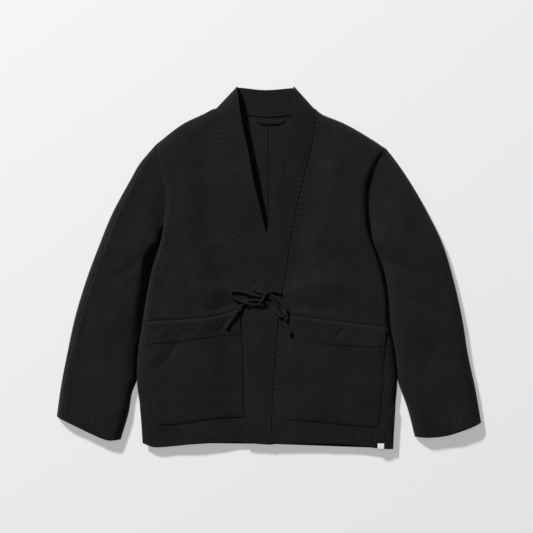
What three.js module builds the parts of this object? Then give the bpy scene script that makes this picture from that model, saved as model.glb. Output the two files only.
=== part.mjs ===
// A noragi jacket laid flat on its back, its ties knotted in a bow.
// Millimetres, +Z up, neck towards +Y. Left and right are the wearer's, so the left side lies at +X.
import * as THREE from 'three';

// Driving sizes
const CLOTH = 1.6;
const BAND_CLOTH = 3.0;
const SEAM_GAP = 0.3;
const LANDING = CLOTH + SEAM_GAP;
const ROLL = 22;
const CORNER = 3;
const UNDERARM_Y = 62;
const NECK_POINT_Y = 329;
const COLLAR_TOP_Y = 374.5;
const LOWEST_Y = -360;
const NECK_SHARE = 0.42;
const POCKET_CLEAR = 0.9;
const POCKET_HEM_CLOTH = 1.2;
const BAND_CREST = 1.2;
const BAND_EDGE_DROP = 0.4;
const TIE = 5;
const TIE_SIDES = 10;
const TIE_STEPS = 72;
const LOOP_WIDTH = 7;
const TAB = { x: 222, width: 15.5, y: -360, cloth: 0.8, clear: 0.6 };

// The fronts: how far each change of height takes to come in.
const SHOULDER_SLOPE = 0.85;
const BAND_RISE = 60;
const FOLD_RISE = 40;
const HEM_RISE = 45;
const HEM_DROP = 2;
const ARMHOLE_RISE = 34;
const VENT = { y: -294, rise: 16 };

// The sleeves: shares of their length over which the cap, the tuck and the cuff come in.
const CAP_CURVE = 0.4;
const CAP_RISE = 0.16;
const CUFF_CURVE = 0.3;
const FULL_TUCK = 8;
const SLEEVE_CLEAR = 0.5;
const CLEAR_BY = 0.05;

const RIGHT = {
  sign: -1, shoulderTipY: 255, edge: 'sideRight', seam: 'seamRight', open: 'openRight',
  valley: 'valleyRight', stand: 'standRight', bandTop: 14, flatByBand: 42,
};
const LEFT = {
  sign: 1, shoulderTipY: 246, edge: 'sideLeft', seam: 'seamLeft', open: 'openLeft',
  valley: 'valleyLeft', stand: 'standLeft', bandTop: 18, flatByBand: 8,
};

// Across the body at each height: side or armhole, band seam and band opening of each front.
const BODY = [
  { y: -367, sideRight: -260, seamRight: -23, openRight: 31, openLeft: -53, seamLeft: 4, sideLeft: 256 },
  { y: -297, sideRight: -265, seamRight: -24, openRight: 30, openLeft: -50, seamLeft: 6, sideLeft: 260 },
  { y: -231, sideRight: -273, seamRight: -25, openRight: 29, openLeft: -47, seamLeft: 9, sideLeft: 265 },
  { y: -169, sideRight: -270, seamRight: -28, openRight: 26, openLeft: -42, seamLeft: 13, sideLeft: 259 },
  { y: -118, sideRight: -262, seamRight: -34, openRight: 21, openLeft: -40, seamLeft: 18, sideLeft: 249 },
  { y: -66, sideRight: -254, seamRight: -40, openRight: 16, openLeft: -35, seamLeft: 24, sideLeft: 245 },
  { y: -5, sideRight: -242, seamRight: -54, openRight: 6, openLeft: -21, seamLeft: 35, sideLeft: 233 },
  { y: 62, sideRight: -222, seamRight: -67, openRight: -3, openLeft: -7, seamLeft: 45, sideLeft: 210 },
  { y: 100, sideRight: -216, seamRight: -72, openRight: -12, openLeft: 2, seamLeft: 52, sideLeft: 203 },
  { y: 137, sideRight: -212, seamRight: -77, openRight: -21, openLeft: 10, seamLeft: 59, sideLeft: 201 },
  { y: 168, sideRight: -213, seamRight: -82, openRight: -29, openLeft: 17, seamLeft: 67, sideLeft: 203 },
  { y: 200, sideRight: -223, seamRight: -88, openRight: -35, openLeft: 25, seamLeft: 74, sideLeft: 213 },
  { y: 228, sideRight: -228, seamRight: -93, openRight: -40, openLeft: 31, seamLeft: 82, sideLeft: 227 },
  { y: 255, sideRight: -233, seamRight: -99, openRight: -46, openLeft: 36, seamLeft: 88, sideLeft: 247 },
  { y: 294, sideRight: -233, seamRight: -108, openRight: -54, openLeft: 42, seamLeft: 94, sideLeft: 247 },
  { y: 329, sideRight: -233, seamRight: -109, openRight: -60, openLeft: 47, seamLeft: 93, sideLeft: 247 },
  { y: 375, sideRight: -233, seamRight: -109, openRight: -66, openLeft: 52, seamLeft: 93, sideLeft: 247 },
];

// Lower edge of the fronts, across the jacket.
const HEM = [
  { x: -260, y: -361 },
  { x: -235, y: -369 },
  { x: -146, y: -362 },
  { x: -54, y: -359 },
  { x: -9, y: -364 },
  { x: 23, y: -362 },
  { x: 157, y: -363 },
  { x: 229, y: -372 },
  { x: 256, y: -373 },
];

// Shoulder line of both sides, from armhole to neck.
const SHOULDER = [
  { x: -233, y: 255 },
  { x: -179, y: 296 },
  { x: -136, y: 317 },
  { x: -109, y: 329 },
  { x: 93, y: 329 },
  { x: 107, y: 318 },
  { x: 157, y: 297 },
  { x: 214, y: 264 },
  { x: 241, y: 246 },
];

// Seam of the band round the back neck, and the band's upper edge.
const BACK_NECK = [
  { x: -109, seam: 329, edge: 374.5 },
  { x: -62, seam: 318, edge: 373 },
  { x: -8, seam: 311, edge: 368 },
  { x: 48, seam: 316, edge: 372 },
  { x: 93, seam: 329, edge: 374.5 },
];

// Height of the cloth's top over the ground: fronts, and the valleys along both armholes.
const LOFT = [
  { y: -367, front: 19, valleyRight: 13, valleyLeft: 13 },
  { y: -297, front: 21, valleyRight: 13, valleyLeft: 13 },
  { y: -169, front: 23, valleyRight: 13, valleyLeft: 9 },
  { y: 62, front: 25, valleyRight: 13, valleyLeft: 6 },
  { y: 137, front: 24, valleyRight: 14, valleyLeft: 7 },
  { y: 200, front: 22, valleyRight: 15, valleyLeft: 12 },
  { y: 255, front: 20, valleyRight: 15, valleyLeft: 15 },
  { y: 329, front: 17, valleyRight: 15, valleyLeft: 15 },
];

// Down each sleeve: inner and outer edge, the seam's distance from the outer edge, the loft,
// and how wide the inner edge is tucked low beside the body.
const SLEEVE_RIGHT = [
  { down: 0, innerX: -222, innerY: 62, outerX: -233, outerY: 255, seamIn: 4, loft: 22, tuck: 0 },
  { down: 0.06, innerX: -223, innerY: 53, outerX: -266, outerY: 216, seamIn: 7, loft: 23, tuck: 4 },
  { down: 0.12, innerX: -225, innerY: 44, outerX: -284, outerY: 185, seamIn: 9, loft: 24, tuck: 9 },
  { down: 0.25, innerX: -235, innerY: 12, outerX: -322, outerY: 115, seamIn: 12, loft: 26, tuck: 17 },
  { down: 0.38, innerX: -247, innerY: -38, outerX: -349, outerY: 50, seamIn: 13, loft: 28, tuck: 14 },
  { down: 0.51, innerX: -257, innerY: -100, outerX: -377, outerY: -25, seamIn: 14, loft: 28, tuck: 11 },
  { down: 0.64, innerX: -268, innerY: -165, outerX: -401, outerY: -105, seamIn: 12, loft: 27, tuck: 8 },
  { down: 0.77, innerX: -272, innerY: -228, outerX: -418, outerY: -185, seamIn: 7, loft: 26, tuck: 2 },
  { down: 0.83, innerX: -283, innerY: -260, outerX: -425, outerY: -220, seamIn: 5, loft: 26, tuck: 0 },
  { down: 0.89, innerX: -290, innerY: -300, outerX: -431, outerY: -255, seamIn: 4, loft: 25, tuck: 0 },
  { down: 1, innerX: -306, innerY: -354, outerX: -438, outerY: -306, seamIn: 3, loft: 22, tuck: 0 },
];
const SLEEVE_LEFT = [
  { down: 0, innerX: 210, innerY: 62, outerX: 241, outerY: 246, seamIn: 3, loft: 22, tuck: 0 },
  { down: 0.06, innerX: 211, innerY: 50, outerX: 266, outerY: 214, seamIn: 4, loft: 23, tuck: 0 },
  { down: 0.12, innerX: 215, innerY: 38, outerX: 294, outerY: 172, seamIn: 5, loft: 24, tuck: 0 },
  { down: 0.25, innerX: 227, innerY: 5, outerX: 332, outerY: 105, seamIn: 10, loft: 26, tuck: 0 },
  { down: 0.38, innerX: 240, innerY: -50, outerX: 360, outerY: 45, seamIn: 13, loft: 28, tuck: 0 },
  { down: 0.51, innerX: 245, innerY: -105, outerX: 381, outerY: -25, seamIn: 13, loft: 28, tuck: 0 },
  { down: 0.64, innerX: 257, innerY: -170, outerX: 399, outerY: -105, seamIn: 7, loft: 27, tuck: 0 },
  { down: 0.77, innerX: 265, innerY: -230, outerX: 411, outerY: -180, seamIn: 4, loft: 26, tuck: 0 },
  { down: 0.89, innerX: 286, innerY: -290, outerX: 426, outerY: -250, seamIn: 3, loft: 25, tuck: 0 },
  { down: 1, innerX: 301, innerY: -348, outerX: 438, outerY: -319, seamIn: 3, loft: 22, tuck: 0 },
];
// How far each band's opening edge stands up, from the crossing of the bands to the collar's top.
const STAND = [
  { y: 88, standRight: 0, standLeft: 0 },
  { y: 125, standRight: 8, standLeft: 2 },
  { y: 161, standRight: 15, standLeft: 4 },
  { y: 230, standRight: 18, standLeft: 5 },
  { y: 300, standRight: 18, standLeft: 5 },
  { y: 375, standRight: 12, standLeft: 4 },
];

// How far each cuff's edge bows below a straight line between its corners.
const CUFF = [
  { across: 0, bowRight: 0, bowLeft: 0 },
  { across: 0.2, bowRight: 10, bowLeft: 7 },
  { across: 0.45, bowRight: 9, bowLeft: 11 },
  { across: 0.75, bowRight: 4, bowLeft: 7 },
  { across: 1, bowRight: 0, bowLeft: 0 },
];

// Each pocket's sides, from its mouth down, and its upper and lower edge.
const POCKET_RIGHT = {
  middleY: -200,
  sides: [
    { y: -322, outer: -226, inner: -52 },
    { y: -303, outer: -237, inner: -52 },
    { y: -240, outer: -242, inner: -54 },
    { y: -157, outer: -254, inner: -56 },
    { y: -110, outer: -256, inner: -59 },
  ],
  mouth: [{ x: -257, y: -114 }, { x: -150, y: -108 }, { x: -100, y: -100 }, { x: -59, y: -88 }],
  hemLine: [{ x: -257, y: -158 }, { x: -190, y: -152 }, { x: -91, y: -139 }, { x: -55, y: -138 }],
  bottom: [{ x: -240, y: -323 }, { x: -190, y: -321 }, { x: -113, y: -310 }, { x: -50, y: -307 }],
};
const POCKET_LEFT = {
  middleY: -200,
  sides: [
    { y: -328, outer: 224, inner: 35 },
    { y: -285, outer: 230, inner: 35 },
    { y: -211, outer: 234, inner: 36 },
    { y: -160, outer: 238, inner: 38 },
    { y: -110, outer: 242, inner: 43 },
  ],
  mouth: [{ x: 35, y: -99 }, { x: 64, y: -104 }, { x: 156, y: -116 }, { x: 243, y: -126 }],
  hemLine: [{ x: 35, y: -144 }, { x: 85, y: -151 }, { x: 126, y: -158 }, { x: 240, y: -164 }],
  bottom: [{ x: 33, y: -312 }, { x: 74, y: -314 }, { x: 167, y: -323 }, { x: 232, y: -329 }],
};

// Folds in each front, drawn up by the bow: from one end to the other, width and height of the fold.
const FOLDS_RIGHT = [
  { fromX: -48, fromY: -74, toX: -150, toY: -84, width: 15, height: -2.2 },
  { fromX: -50, fromY: -56, toX: -175, toY: -30, width: 20, height: 1.8 },
  { fromX: -190, fromY: -158, toX: -228, toY: -208, width: 15, height: -1.8 },
];
const FOLDS_LEFT = [
  { fromX: 36, fromY: -72, toX: 140, toY: -92, width: 15, height: -2.2 },
  { fromX: 40, fromY: -50, toX: 170, toY: -36, width: 20, height: 1.8 },
  { fromX: 150, fromY: 190, toX: 196, toY: 120, width: 16, height: -2 },
];

// The ties, from where each is sewn to its band, through the bow, to its free end.
const TIE_RIGHT_ROUTE = [
  [-35, -40, 17.6], [-31, -44, 20.8], [-22, -50, 21], [-12, -53, 21], [-2, -55, 21],
  [7, -58, 21], [15, -64, 21], [24, -71, 21.5], [31, -79, 22.5], [35, -88, 24], [33, -97, 26],
  [26, -101, 26.5], [18, -95, 25.5], [11, -87, 23], [4, -79, 21.3], [-3, -72, 21], [-10, -68, 21],
  [-19, -67, 21], [-28, -67, 21], [-36, -67, 20.5], [-43, -69, 16.5], [-50, -73, 16], [-57, -79, 17],
  [-61, -85, 19.5], [-66, -92, 20], [-74, -104, 20.2], [-82, -115, 20.6], [-88, -124, 21],
];
const TIE_LEFT_ROUTE = [
  [25, -52, 21], [18, -50, 21.5], [10, -48, 22.5], [2, -48, 24.5], [-5, -52, 27], [-10, -59, 27],
  [-14, -67, 27], [-19, -74, 24.5], [-27, -76, 22], [-38, -75, 21.6], [-49, -72, 21.8], [-61, -67, 19.5],
  [-72, -62, 17.5], [-79, -55, 17], [-74, -49, 17], [-62, -49, 17], [-50, -51, 18], [-40, -54, 20.5],
  [-33, -56, 21], [-22, -58.5, 21], [-10, -59.5, 21], [0, -61, 21], [7, -65, 21], [12, -73, 21],
  [17, -82, 21], [21, -91, 20.8], [25, -100, 20.6], [31, -110, 20.6], [35, -117, 22.5], [39, -125, 25],
  [44, -135, 26],
];
const LOOP_ROUTE = [
  [-28, 309, 3.6], [-25, 303, 3.8], [-16, 300, 4.8], [1, 299, 5.4], [18, 300, 4.8], [27, 303, 3.8],
  [30, 309, 3.6],
];

const mix = (a, b, t) => a + (b - a) * t;
const clamp = (t) => Math.min(1, Math.max(0, t));
const ease = (t) => clamp(t) ** 2 * (3 - 2 * clamp(t));
const round = (t) => Math.sqrt(1 - (1 - clamp(t)) ** 2);
const steps = (count) => Array.from({ length: count + 1 }, (_, k) => k / count);

// A smooth curve through one named column of a table, read along another.
function through(rows, along, value) {
  const last = rows.length - 1;
  const slope = (k) => {
    const before = rows[Math.max(k - 1, 0)];
    const after = rows[Math.min(k + 1, last)];
    return (after[value] - before[value]) / (after[along] - before[along]);
  };
  return (at) => {
    let k = 0;
    while (k < last - 1 && at > rows[k + 1][along]) k += 1;
    const span = rows[k + 1][along] - rows[k][along];
    const t = clamp((at - rows[k][along]) / span);
    const lift = t * (1 - t) * span;
    const bend = (1 - t) * slope(k) * lift - t * slope(k + 1) * lift;
    return mix(rows[k][value], rows[k + 1][value], ease(t)) + bend;
  };
}

const hemY = through(HEM, 'x', 'y');
const shoulderY = through(SHOULDER, 'x', 'y');
const frontLoft = through(LOFT, 'y', 'front');
const neckSeamY = through(BACK_NECK, 'x', 'seam');
const neckEdgeY = through(BACK_NECK, 'x', 'edge');
const edgeX = (side) => through(BODY, 'y', side.edge);
const seamX = (side) => through(BODY, 'y', side.seam);
const openX = (side) => through(BODY, 'y', side.open);
const shoulderTipX = (side) => edgeX(side)(side.shoulderTipY);

// Distances from an edge at which a rolled edge is sampled, one for each angle round the roll.
const toRadians = THREE.MathUtils.degToRad;
const rollSteps = (angles) => angles.map((degrees) => ROLL * (1 - Math.cos(toRadians(degrees))));

// Distance of a point from a fold's line.
function distanceToFold(fold, x, y) {
  const line = new THREE.Vector2(fold.toX - fold.fromX, fold.toY - fold.fromY);
  const out = new THREE.Vector2(x - fold.fromX, y - fold.fromY);
  const along = clamp(out.dot(line) / line.lengthSq());
  return out.addScaledVector(line, -along).length();
}

function foldHeight(folds, x, y) {
  const heightOf = (fold) => fold.height * Math.exp(-((distanceToFold(fold, x, y) / fold.width) ** 2));
  return folds.map(heightOf).reduce((sum, height) => sum + height, 0);
}

// Height of a front's outer face over the ground.
function frontTop(side, x, y) {
  const folds = side === RIGHT ? FOLDS_RIGHT : FOLDS_LEFT;
  const fromSide = side.sign * (edgeX(side)(y) - x);
  const fromBand = side.sign * (x - seamX(side)(y));
  const fromShoulder = SHOULDER_SLOPE * (shoulderY(x) - y);
  const byBand = side.bandTop - BAND_CREST;
  const rise = ease((fromBand - side.flatByBand) / BAND_RISE);
  const hem = mix(HEM_DROP, 0, ease((y - hemY(x)) / HEM_RISE));
  const open = mix(byBand, frontLoft(y) - hem, rise) + foldHeight(folds, x, y) * ease(fromBand / FOLD_RISE);
  const valley = through(LOFT, 'y', side.valley)(y);
  const atVent = mix(valley, LANDING, ease((y - VENT.y) / VENT.rise));
  const atArmhole = mix(LANDING, valley, ease((y - UNDERARM_Y) / ARMHOLE_RISE));
  const edge = y > UNDERARM_Y ? atArmhole : atVent;
  const body = mix(edge, open, round(fromSide / ROLL));
  return mix(LANDING, body, round(fromShoulder / ROLL));
}

// A grid of points with a normal at each, which point out of the cloth's outer face.
function sheet(rows, facing) {
  const lastRow = rows.length - 1;
  const lastColumn = rows[0].length - 1;
  const normals = rows.map((row, i) => row.map((_, j) => {
    const down = rows[Math.min(i + 1, lastRow)][j].clone().sub(rows[Math.max(i - 1, 0)][j]);
    const across = row[Math.min(j + 1, lastColumn)].clone().sub(row[Math.max(j - 1, 0)]);
    return across.cross(down).normalize().multiplyScalar(facing);
  }));
  return { rows: rows.map((row) => row.map((point) => point.clone())), normals };
}

// The vertices along one edge of a sheet, each with the vertex just inside it.
function edgeOf(cloth, edge) {
  const lastRow = cloth.rows.length - 1;
  const lastColumn = cloth.rows[0].length - 1;
  const places = {
    first: [lastColumn, (k) => [0, k], (k) => [1, k]],
    last: [lastColumn, (k) => [lastRow, k], (k) => [lastRow - 1, k]],
    start: [lastRow, (k) => [k, 0], (k) => [k, 1]],
    end: [lastRow, (k) => [k, lastColumn], (k) => [k, lastColumn - 1]],
  };
  const [last, at, inside] = places[edge];
  return Array.from({ length: last + 1 }, (_, k) => ({
    point: cloth.rows[at(k)[0]][at(k)[1]],
    normal: cloth.normals[at(k)[0]][at(k)[1]],
    inside: cloth.rows[inside(k)[0]][inside(k)[1]],
  }));
}

// A sewn edge: its rim stands upright over the seam line, half a seam gap back from it.
function sew(cloth, edge, chosen = () => true) {
  const places = edgeOf(cloth, edge);
  const line = places.map(({ point }) => point.clone());
  places.forEach(({ point, normal, inside }, k) => {
    if (!chosen(line[k])) return;
    const run = line[Math.min(k + 1, line.length - 1)].clone().sub(line[Math.max(k - 1, 0)]);
    const across = new THREE.Vector3(-run.y, run.x, 0).normalize();
    if (across.dot(inside.clone().sub(line[k])) < 0) across.negate();
    normal.addScaledVector(across, -normal.dot(across)).normalize();
    point.addScaledVector(across, SEAM_GAP / 2);
  });
}

// Where the cloth comes down on the piece below, its inner face stays above that piece.
function keepAbove(cloth, level, thickness) {
  cloth.rows.flat().forEach((point, k) => {
    const normal = cloth.normals.flat()[k];
    const steepest = clamp((point.z - level) / thickness);
    if (normal.z <= steepest) return;
    const reach = Math.sqrt(1 - steepest ** 2) / Math.hypot(normal.x, normal.y);
    normal.set(normal.x * reach, normal.y * reach, steepest);
  });
}

// A seam inside a rolled edge: both rims share one direction, half a seam gap back along the cloth.
function partAlong(cloth, edge) {
  edgeOf(cloth, edge).forEach(({ point, inside }) => {
    point.addScaledVector(inside.clone().sub(point).normalize(), SEAM_GAP / 2);
  });
}

// The closed wall between a sheet's outer face and the face one thickness inside it.
function wall(cloth, thickness) {
  const lastRow = cloth.rows.length - 1;
  const lastColumn = cloth.rows[0].length - 1;
  const width = lastColumn + 1;
  const outer = cloth.rows.flat();
  const inner = outer.map((point, k) => point.clone().addScaledVector(cloth.normals.flat()[k], -thickness));
  const at = (i, j) => i * width + j;
  const triangles = [];
  const quad = (a, b, c, d) => triangles.push(a, b, c, a, c, d);
  for (let i = 0; i < lastRow; i += 1) {
    for (let j = 0; j < lastColumn; j += 1) {
      const corners = [at(i, j), at(i, j + 1), at(i + 1, j + 1), at(i + 1, j)];
      quad(...corners);
      quad(...corners.map((k) => k + outer.length).reverse());
    }
  }
  const rim = [
    ...Array.from({ length: lastColumn }, (_, j) => at(0, j)),
    ...Array.from({ length: lastRow }, (_, i) => at(i, lastColumn)),
    ...Array.from({ length: lastColumn }, (_, j) => at(lastRow, lastColumn - j)),
    ...Array.from({ length: lastRow }, (_, i) => at(lastRow - i, 0)),
  ];
  rim.forEach((k, n) => {
    const next = rim[(n + 1) % rim.length];
    quad(k, k + outer.length, next + outer.length, next);
  });
  return closedGeometry([...outer, ...inner], triangles);
}

// A geometry from points and triangles, turned right side out.
function closedGeometry(points, triangles) {
  const [a, b, c] = [new THREE.Vector3(), new THREE.Vector3(), new THREE.Vector3()];
  let volume = 0;
  for (let k = 0; k < triangles.length; k += 3) {
    a.copy(points[triangles[k]]);
    b.copy(points[triangles[k + 1]]);
    c.copy(points[triangles[k + 2]]);
    volume += a.dot(b.cross(c));
  }
  const geometry = new THREE.BufferGeometry().setFromPoints(points);
  geometry.setIndex(volume < 0 ? triangles.toReversed() : triangles);
  geometry.computeVertexNormals();
  return geometry;
}

function piece(name, geometry, finish) {
  const mesh = new THREE.Mesh(geometry, new THREE.MeshStandardMaterial(finish));
  mesh.name = name;
  return mesh;
}

const COTTON = { color: 0x1f1e21, roughness: 0.92, metalness: 0 };
const BAND_COTTON = { color: 0x1e1d21, roughness: 0.92, metalness: 0 };
const POCKET_COTTON = { color: 0x1c1c1f, roughness: 0.92, metalness: 0 };
const CORD_COTTON = { color: 0x1b1a1d, roughness: 0.85, metalness: 0 };
const TAB_COTTON = { color: 0xe6e4e0, roughness: 0.8, metalness: 0 };

// Steps over the top of a sleeve, as shares of its width from the inner edge to the outer one:
// those of the upper piece, and those from its seam on round the outer roll.
function acrossSleeve(width, seamIn) {
  const inner = rollSteps([0, 30, 60]).map((distance) => distance / width);
  const plateau = steps(6).map((t) => mix(ROLL / width, 1 - ROLL / width, t));
  const seamAngle = THREE.MathUtils.radToDeg(Math.acos(1 - seamIn / ROLL));
  const outer = rollSteps([mix(90, seamAngle, 0.5), seamAngle]).map((distance) => 1 - distance / width);
  const wrap = rollSteps([seamAngle, mix(0, seamAngle, 2 / 3), mix(0, seamAngle, 1 / 3), 0]);
  return { upper: [...inner, ...plateau, ...outer], wrap: wrap.map((distance) => 1 - distance / width) };
}

const armholeHeight = (side) => side.shoulderTipY - UNDERARM_Y;
const capSteps = (side) => {
  const { seamIn } = (side === RIGHT ? SLEEVE_RIGHT : SLEEVE_LEFT)[0];
  const { upper, wrap } = acrossSleeve(armholeHeight(side), seamIn);
  return [...upper, ...wrap.slice(1)];
};
const armholePoint = (side, share) => {
  const y = mix(UNDERARM_Y, side.shoulderTipY, share);
  return new THREE.Vector2(edgeX(side)(y), y);
};

// Steps up the band seam of a front: shares of the way to the underarm, then to the neck point.
function frontSteps(side) {
  const lower = steps(17).map((t) => ({ below: true, share: t }));
  const upper = capSteps(side).slice(1).map((t) => ({ below: false, share: t }));
  return [...lower, ...upper];
}

function bandSeamPoint(side, { below, share }) {
  const start = hemY(seamX(side)(LOWEST_Y));
  const y = below ? mix(start, UNDERARM_Y, share) : mix(UNDERARM_Y, NECK_POINT_Y, share);
  return new THREE.Vector2(seamX(side)(y), y);
}

function sidePoint(side, { below, share }) {
  const start = hemY(edgeX(side)(LOWEST_Y));
  const y = below ? mix(start, UNDERARM_Y, share) : mix(UNDERARM_Y, side.shoulderTipY, share);
  return new THREE.Vector2(edgeX(side)(y), y);
}

// A front panel, row by row from hem to shoulder, each from the band seam to the side.
function frontSheet(side) {
  const rows = frontSteps(side).map((step) => {
    const from = bandSeamPoint(side, step);
    const to = sidePoint(side, step);
    const width = from.distanceTo(to);
    const across = [
      ...steps(10).map((t) => t * (1 - ROLL / width)),
      ...rollSteps([60, 30, 0]).map((distance) => 1 - distance / width),
    ];
    return across.map((share) => {
      const point = from.clone().lerp(to, share);
      const hemBow = hemY(point.x) - mix(hemY(from.x), hemY(to.x), share);
      const onHem = step.below ? (1 - step.share) ** 2 * hemBow : 0;
      const line = mix(NECK_POINT_Y, side.shoulderTipY, share);
      const atTop = mix(seamX(side)(NECK_POINT_Y), shoulderTipX(side), share);
      const onShoulder = step.below ? 0 : step.share ** 2 * (shoulderY(atTop) - line);
      const y = point.y + onHem + onShoulder;
      return new THREE.Vector3(point.x, y, frontTop(side, point.x, y));
    });
  });
  const cloth = sheet(rows, side.sign);
  sew(cloth, 'end', ({ y }) => y >= UNDERARM_Y - 1);
  sew(cloth, 'start');
  keepAbove(cloth, LANDING, CLOTH);
  return cloth;
}

// A back panel, flat on the ground, from the centre seam to the side and armhole.
function backSheet(side) {
  const neckX = seamX(side)(NECK_POINT_Y);
  const below = steps(12).map((t) => ({ below: true, share: t }));
  const above = capSteps(side).slice(1).map((t) => ({ below: false, share: t }));
  const byNeck = steps(5).map((t) => t * NECK_SHARE);
  const byShoulder = steps(4).slice(1).map((t) => mix(NECK_SHARE, 1, t));
  const rows = [...below, ...above].map((step) => {
    const to = sidePoint(side, step);
    const [from, upTo] = step.below ? [hemY(0), UNDERARM_Y] : [UNDERARM_Y, neckSeamY(0)];
    const level = mix(from, upTo, step.share);
    return [...byNeck, ...byShoulder].map((share) => {
      const onNeck = share < NECK_SHARE;
      const pastNeck = (share - NECK_SHARE) / (1 - NECK_SHARE);
      const topX = onNeck ? neckX * (share / NECK_SHARE) : mix(neckX, shoulderTipX(side), pastNeck);
      const topY = onNeck ? neckSeamY(topX) : shoulderY(topX);
      const towardsTop = step.below ? 0 : step.share;
      const x = mix(to.x * share, topX, towardsTop);
      const y = mix(mix(level, to.y, share), topY, towardsTop ** 2);
      return new THREE.Vector3(share === 1 ? to.x : x, share === 1 ? to.y : y, 0);
    });
  });
  const cloth = sheet(rows, -side.sign);
  sew(cloth, 'start');
  sew(cloth, 'last', ({ x }) => Math.abs(x) < Math.abs(neckX) + 1);
  sew(cloth, 'end', ({ y }) => y >= UNDERARM_Y - 1);
  return cloth;
}

// Where a share of the way down and across a sleeve lies on the ground.
function sleevePlan(side, down, across) {
  const rows = side === RIGHT ? SLEEVE_RIGHT : SLEEVE_LEFT;
  const read = (value) => through(rows, 'down', value)(down);
  const inner = new THREE.Vector2(read('innerX'), read('innerY'));
  const outer = new THREE.Vector2(read('outerX'), read('outerY'));
  const clear = SLEEVE_CLEAR * clamp(down / CLEAR_BY);
  const besideBody = side.sign * edgeX(side)(inner.y) + clear;
  inner.x = side.sign * Math.max(side.sign * inner.x, besideBody);
  const cap = armholePoint(side, across);
  const chord = new THREE.Vector2(rows[0].innerX, rows[0].innerY)
    .lerp(new THREE.Vector2(rows[0].outerX, rows[0].outerY), across);
  const bow = through(CUFF, 'across', side === RIGHT ? 'bowRight' : 'bowLeft')(across);
  const width = inner.distanceTo(outer);
  const byCap = (1 - clamp(down / CAP_CURVE)) ** 2;
  const byCuff = clamp((down - 1) / CUFF_CURVE + 1) ** 2;
  const point = inner.lerp(outer, across).addScaledVector(cap.sub(chord), byCap);
  point.y -= bow * byCuff;
  return { point, width };
}

// Height of the top of a sleeve: rolled at both edges, and tucked low beside the body where the table says.
function sleeveTop(side, down, across) {
  const rows = side === RIGHT ? SLEEVE_RIGHT : SLEEVE_LEFT;
  const read = (value) => through(rows, 'down', value)(down);
  const { width } = sleevePlan(side, down, across);
  const fromInner = across * width;
  const tuck = Math.max(0, read('tuck'));
  const rolled = round(fromInner / ROLL);
  const tucked = ease(fromInner / (tuck + ROLL));
  const inner = mix(rolled, tucked, clamp(tuck / FULL_TUCK));
  const base = mix(LANDING + CLOTH * clamp(tuck / FULL_TUCK), CORNER, across);
  const own = mix(base, read('loft'), inner * round(((1 - across) * width) / ROLL));
  const seam = armholePoint(side, across);
  const cap = Math.max(frontTop(side, seam.x, seam.y), base);
  return mix(cap, own, ease(down / CAP_RISE));
}

// A sleeve as one strip, from its inner edge over the top, round the outer edge and back underneath.
function sleeveStrip(side) {
  const rows = side === RIGHT ? SLEEVE_RIGHT : SLEEVE_LEFT;
  const seamIn = through(rows, 'down', 'seamIn');
  const strip = steps(16).map((down) => {
    const { width } = down === 0 ? { width: armholeHeight(side) } : sleevePlan(side, down, 0.5);
    const { upper, wrap } = acrossSleeve(width, Math.max(2, seamIn(down)));
    const top = [...upper, ...wrap.slice(1)].map((across) => {
      const { point } = sleevePlan(side, down, across);
      return new THREE.Vector3(point.x, point.y, sleeveTop(side, down, across));
    });
    const bevel = 0.3 * CORNER;
    const corner = [{ across: 1 - bevel / width, z: bevel }, { across: 1 - CORNER / width, z: 0 }];
    const flat = upper.toReversed().slice(2).map((across) => ({ across, z: 0 }));
    const under = [...corner, ...flat].map((place) => {
      const { point } = sleevePlan(side, down, place.across);
      return new THREE.Vector3(point.x, point.y, place.z);
    });
    return { top, under, upperCount: upper.length };
  });
  const { upperCount } = strip[0];
  return { cloth: sheet(strip.map(({ top, under }) => [...top, ...under]), -side.sign), upperCount };
}

function columnsOf(cloth, from, to) {
  const cut = (grid) => grid.map((row) => row.slice(from, to).map((vector) => vector.clone()));
  return { rows: cut(cloth.rows), normals: cut(cloth.normals) };
}

// The upper and the under piece of a sleeve, parted at the seam in the outer roll.
function sleeve(side, name) {
  const { cloth, upperCount } = sleeveStrip(side);
  const upper = columnsOf(cloth, 0, upperCount);
  const under = columnsOf(cloth, upperCount - 1, cloth.rows[0].length);
  partAlong(upper, 'end');
  partAlong(under, 'start');
  sew(upper, 'first');
  sew(under, 'first');
  keepAbove(upper, LANDING, CLOTH);
  return [
    piece(`sleeve_${name}_upper`, wall(upper, CLOTH), COTTON),
    piece(`sleeve_${name}_under`, wall(under, CLOTH), COTTON),
  ];
}

// The part of the neckband down one front, from hem to the fold at the side of the neck.
function bandSheet(side) {
  const foldLevel = BAND_CLOTH + SEAM_GAP;
  const stand = through(STAND, 'y', side.stand);
  const rows = frontSteps(side).map((step) => {
    const seam = bandSeamPoint(side, step);
    const start = hemY(openX(side)(LOWEST_Y));
    const y = step.below ? mix(start, UNDERARM_Y, step.share) : mix(UNDERARM_Y, COLLAR_TOP_Y, step.share);
    const open = new THREE.Vector2(openX(side)(y), y);
    const fromFold = step.below ? ROLL : (1 - step.share) * (NECK_POINT_Y - UNDERARM_Y);
    return [0, 0.08, 0.5, 0.92, 1].map((share) => {
      const point = open.clone().lerp(seam, share);
      const rolledEdge = share % 1 === 0 ? BAND_EDGE_DROP : 0;
      const crown = side.bandTop + stand(point.y) * (1 - share) - rolledEdge;
      return new THREE.Vector3(point.x, point.y, mix(foldLevel, crown, round(fromFold / ROLL)));
    });
  });
  const cloth = sheet(rows, side.sign);
  sew(cloth, 'end');
  keepAbove(cloth, foldLevel, BAND_CLOTH);
  return cloth;
}

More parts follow.
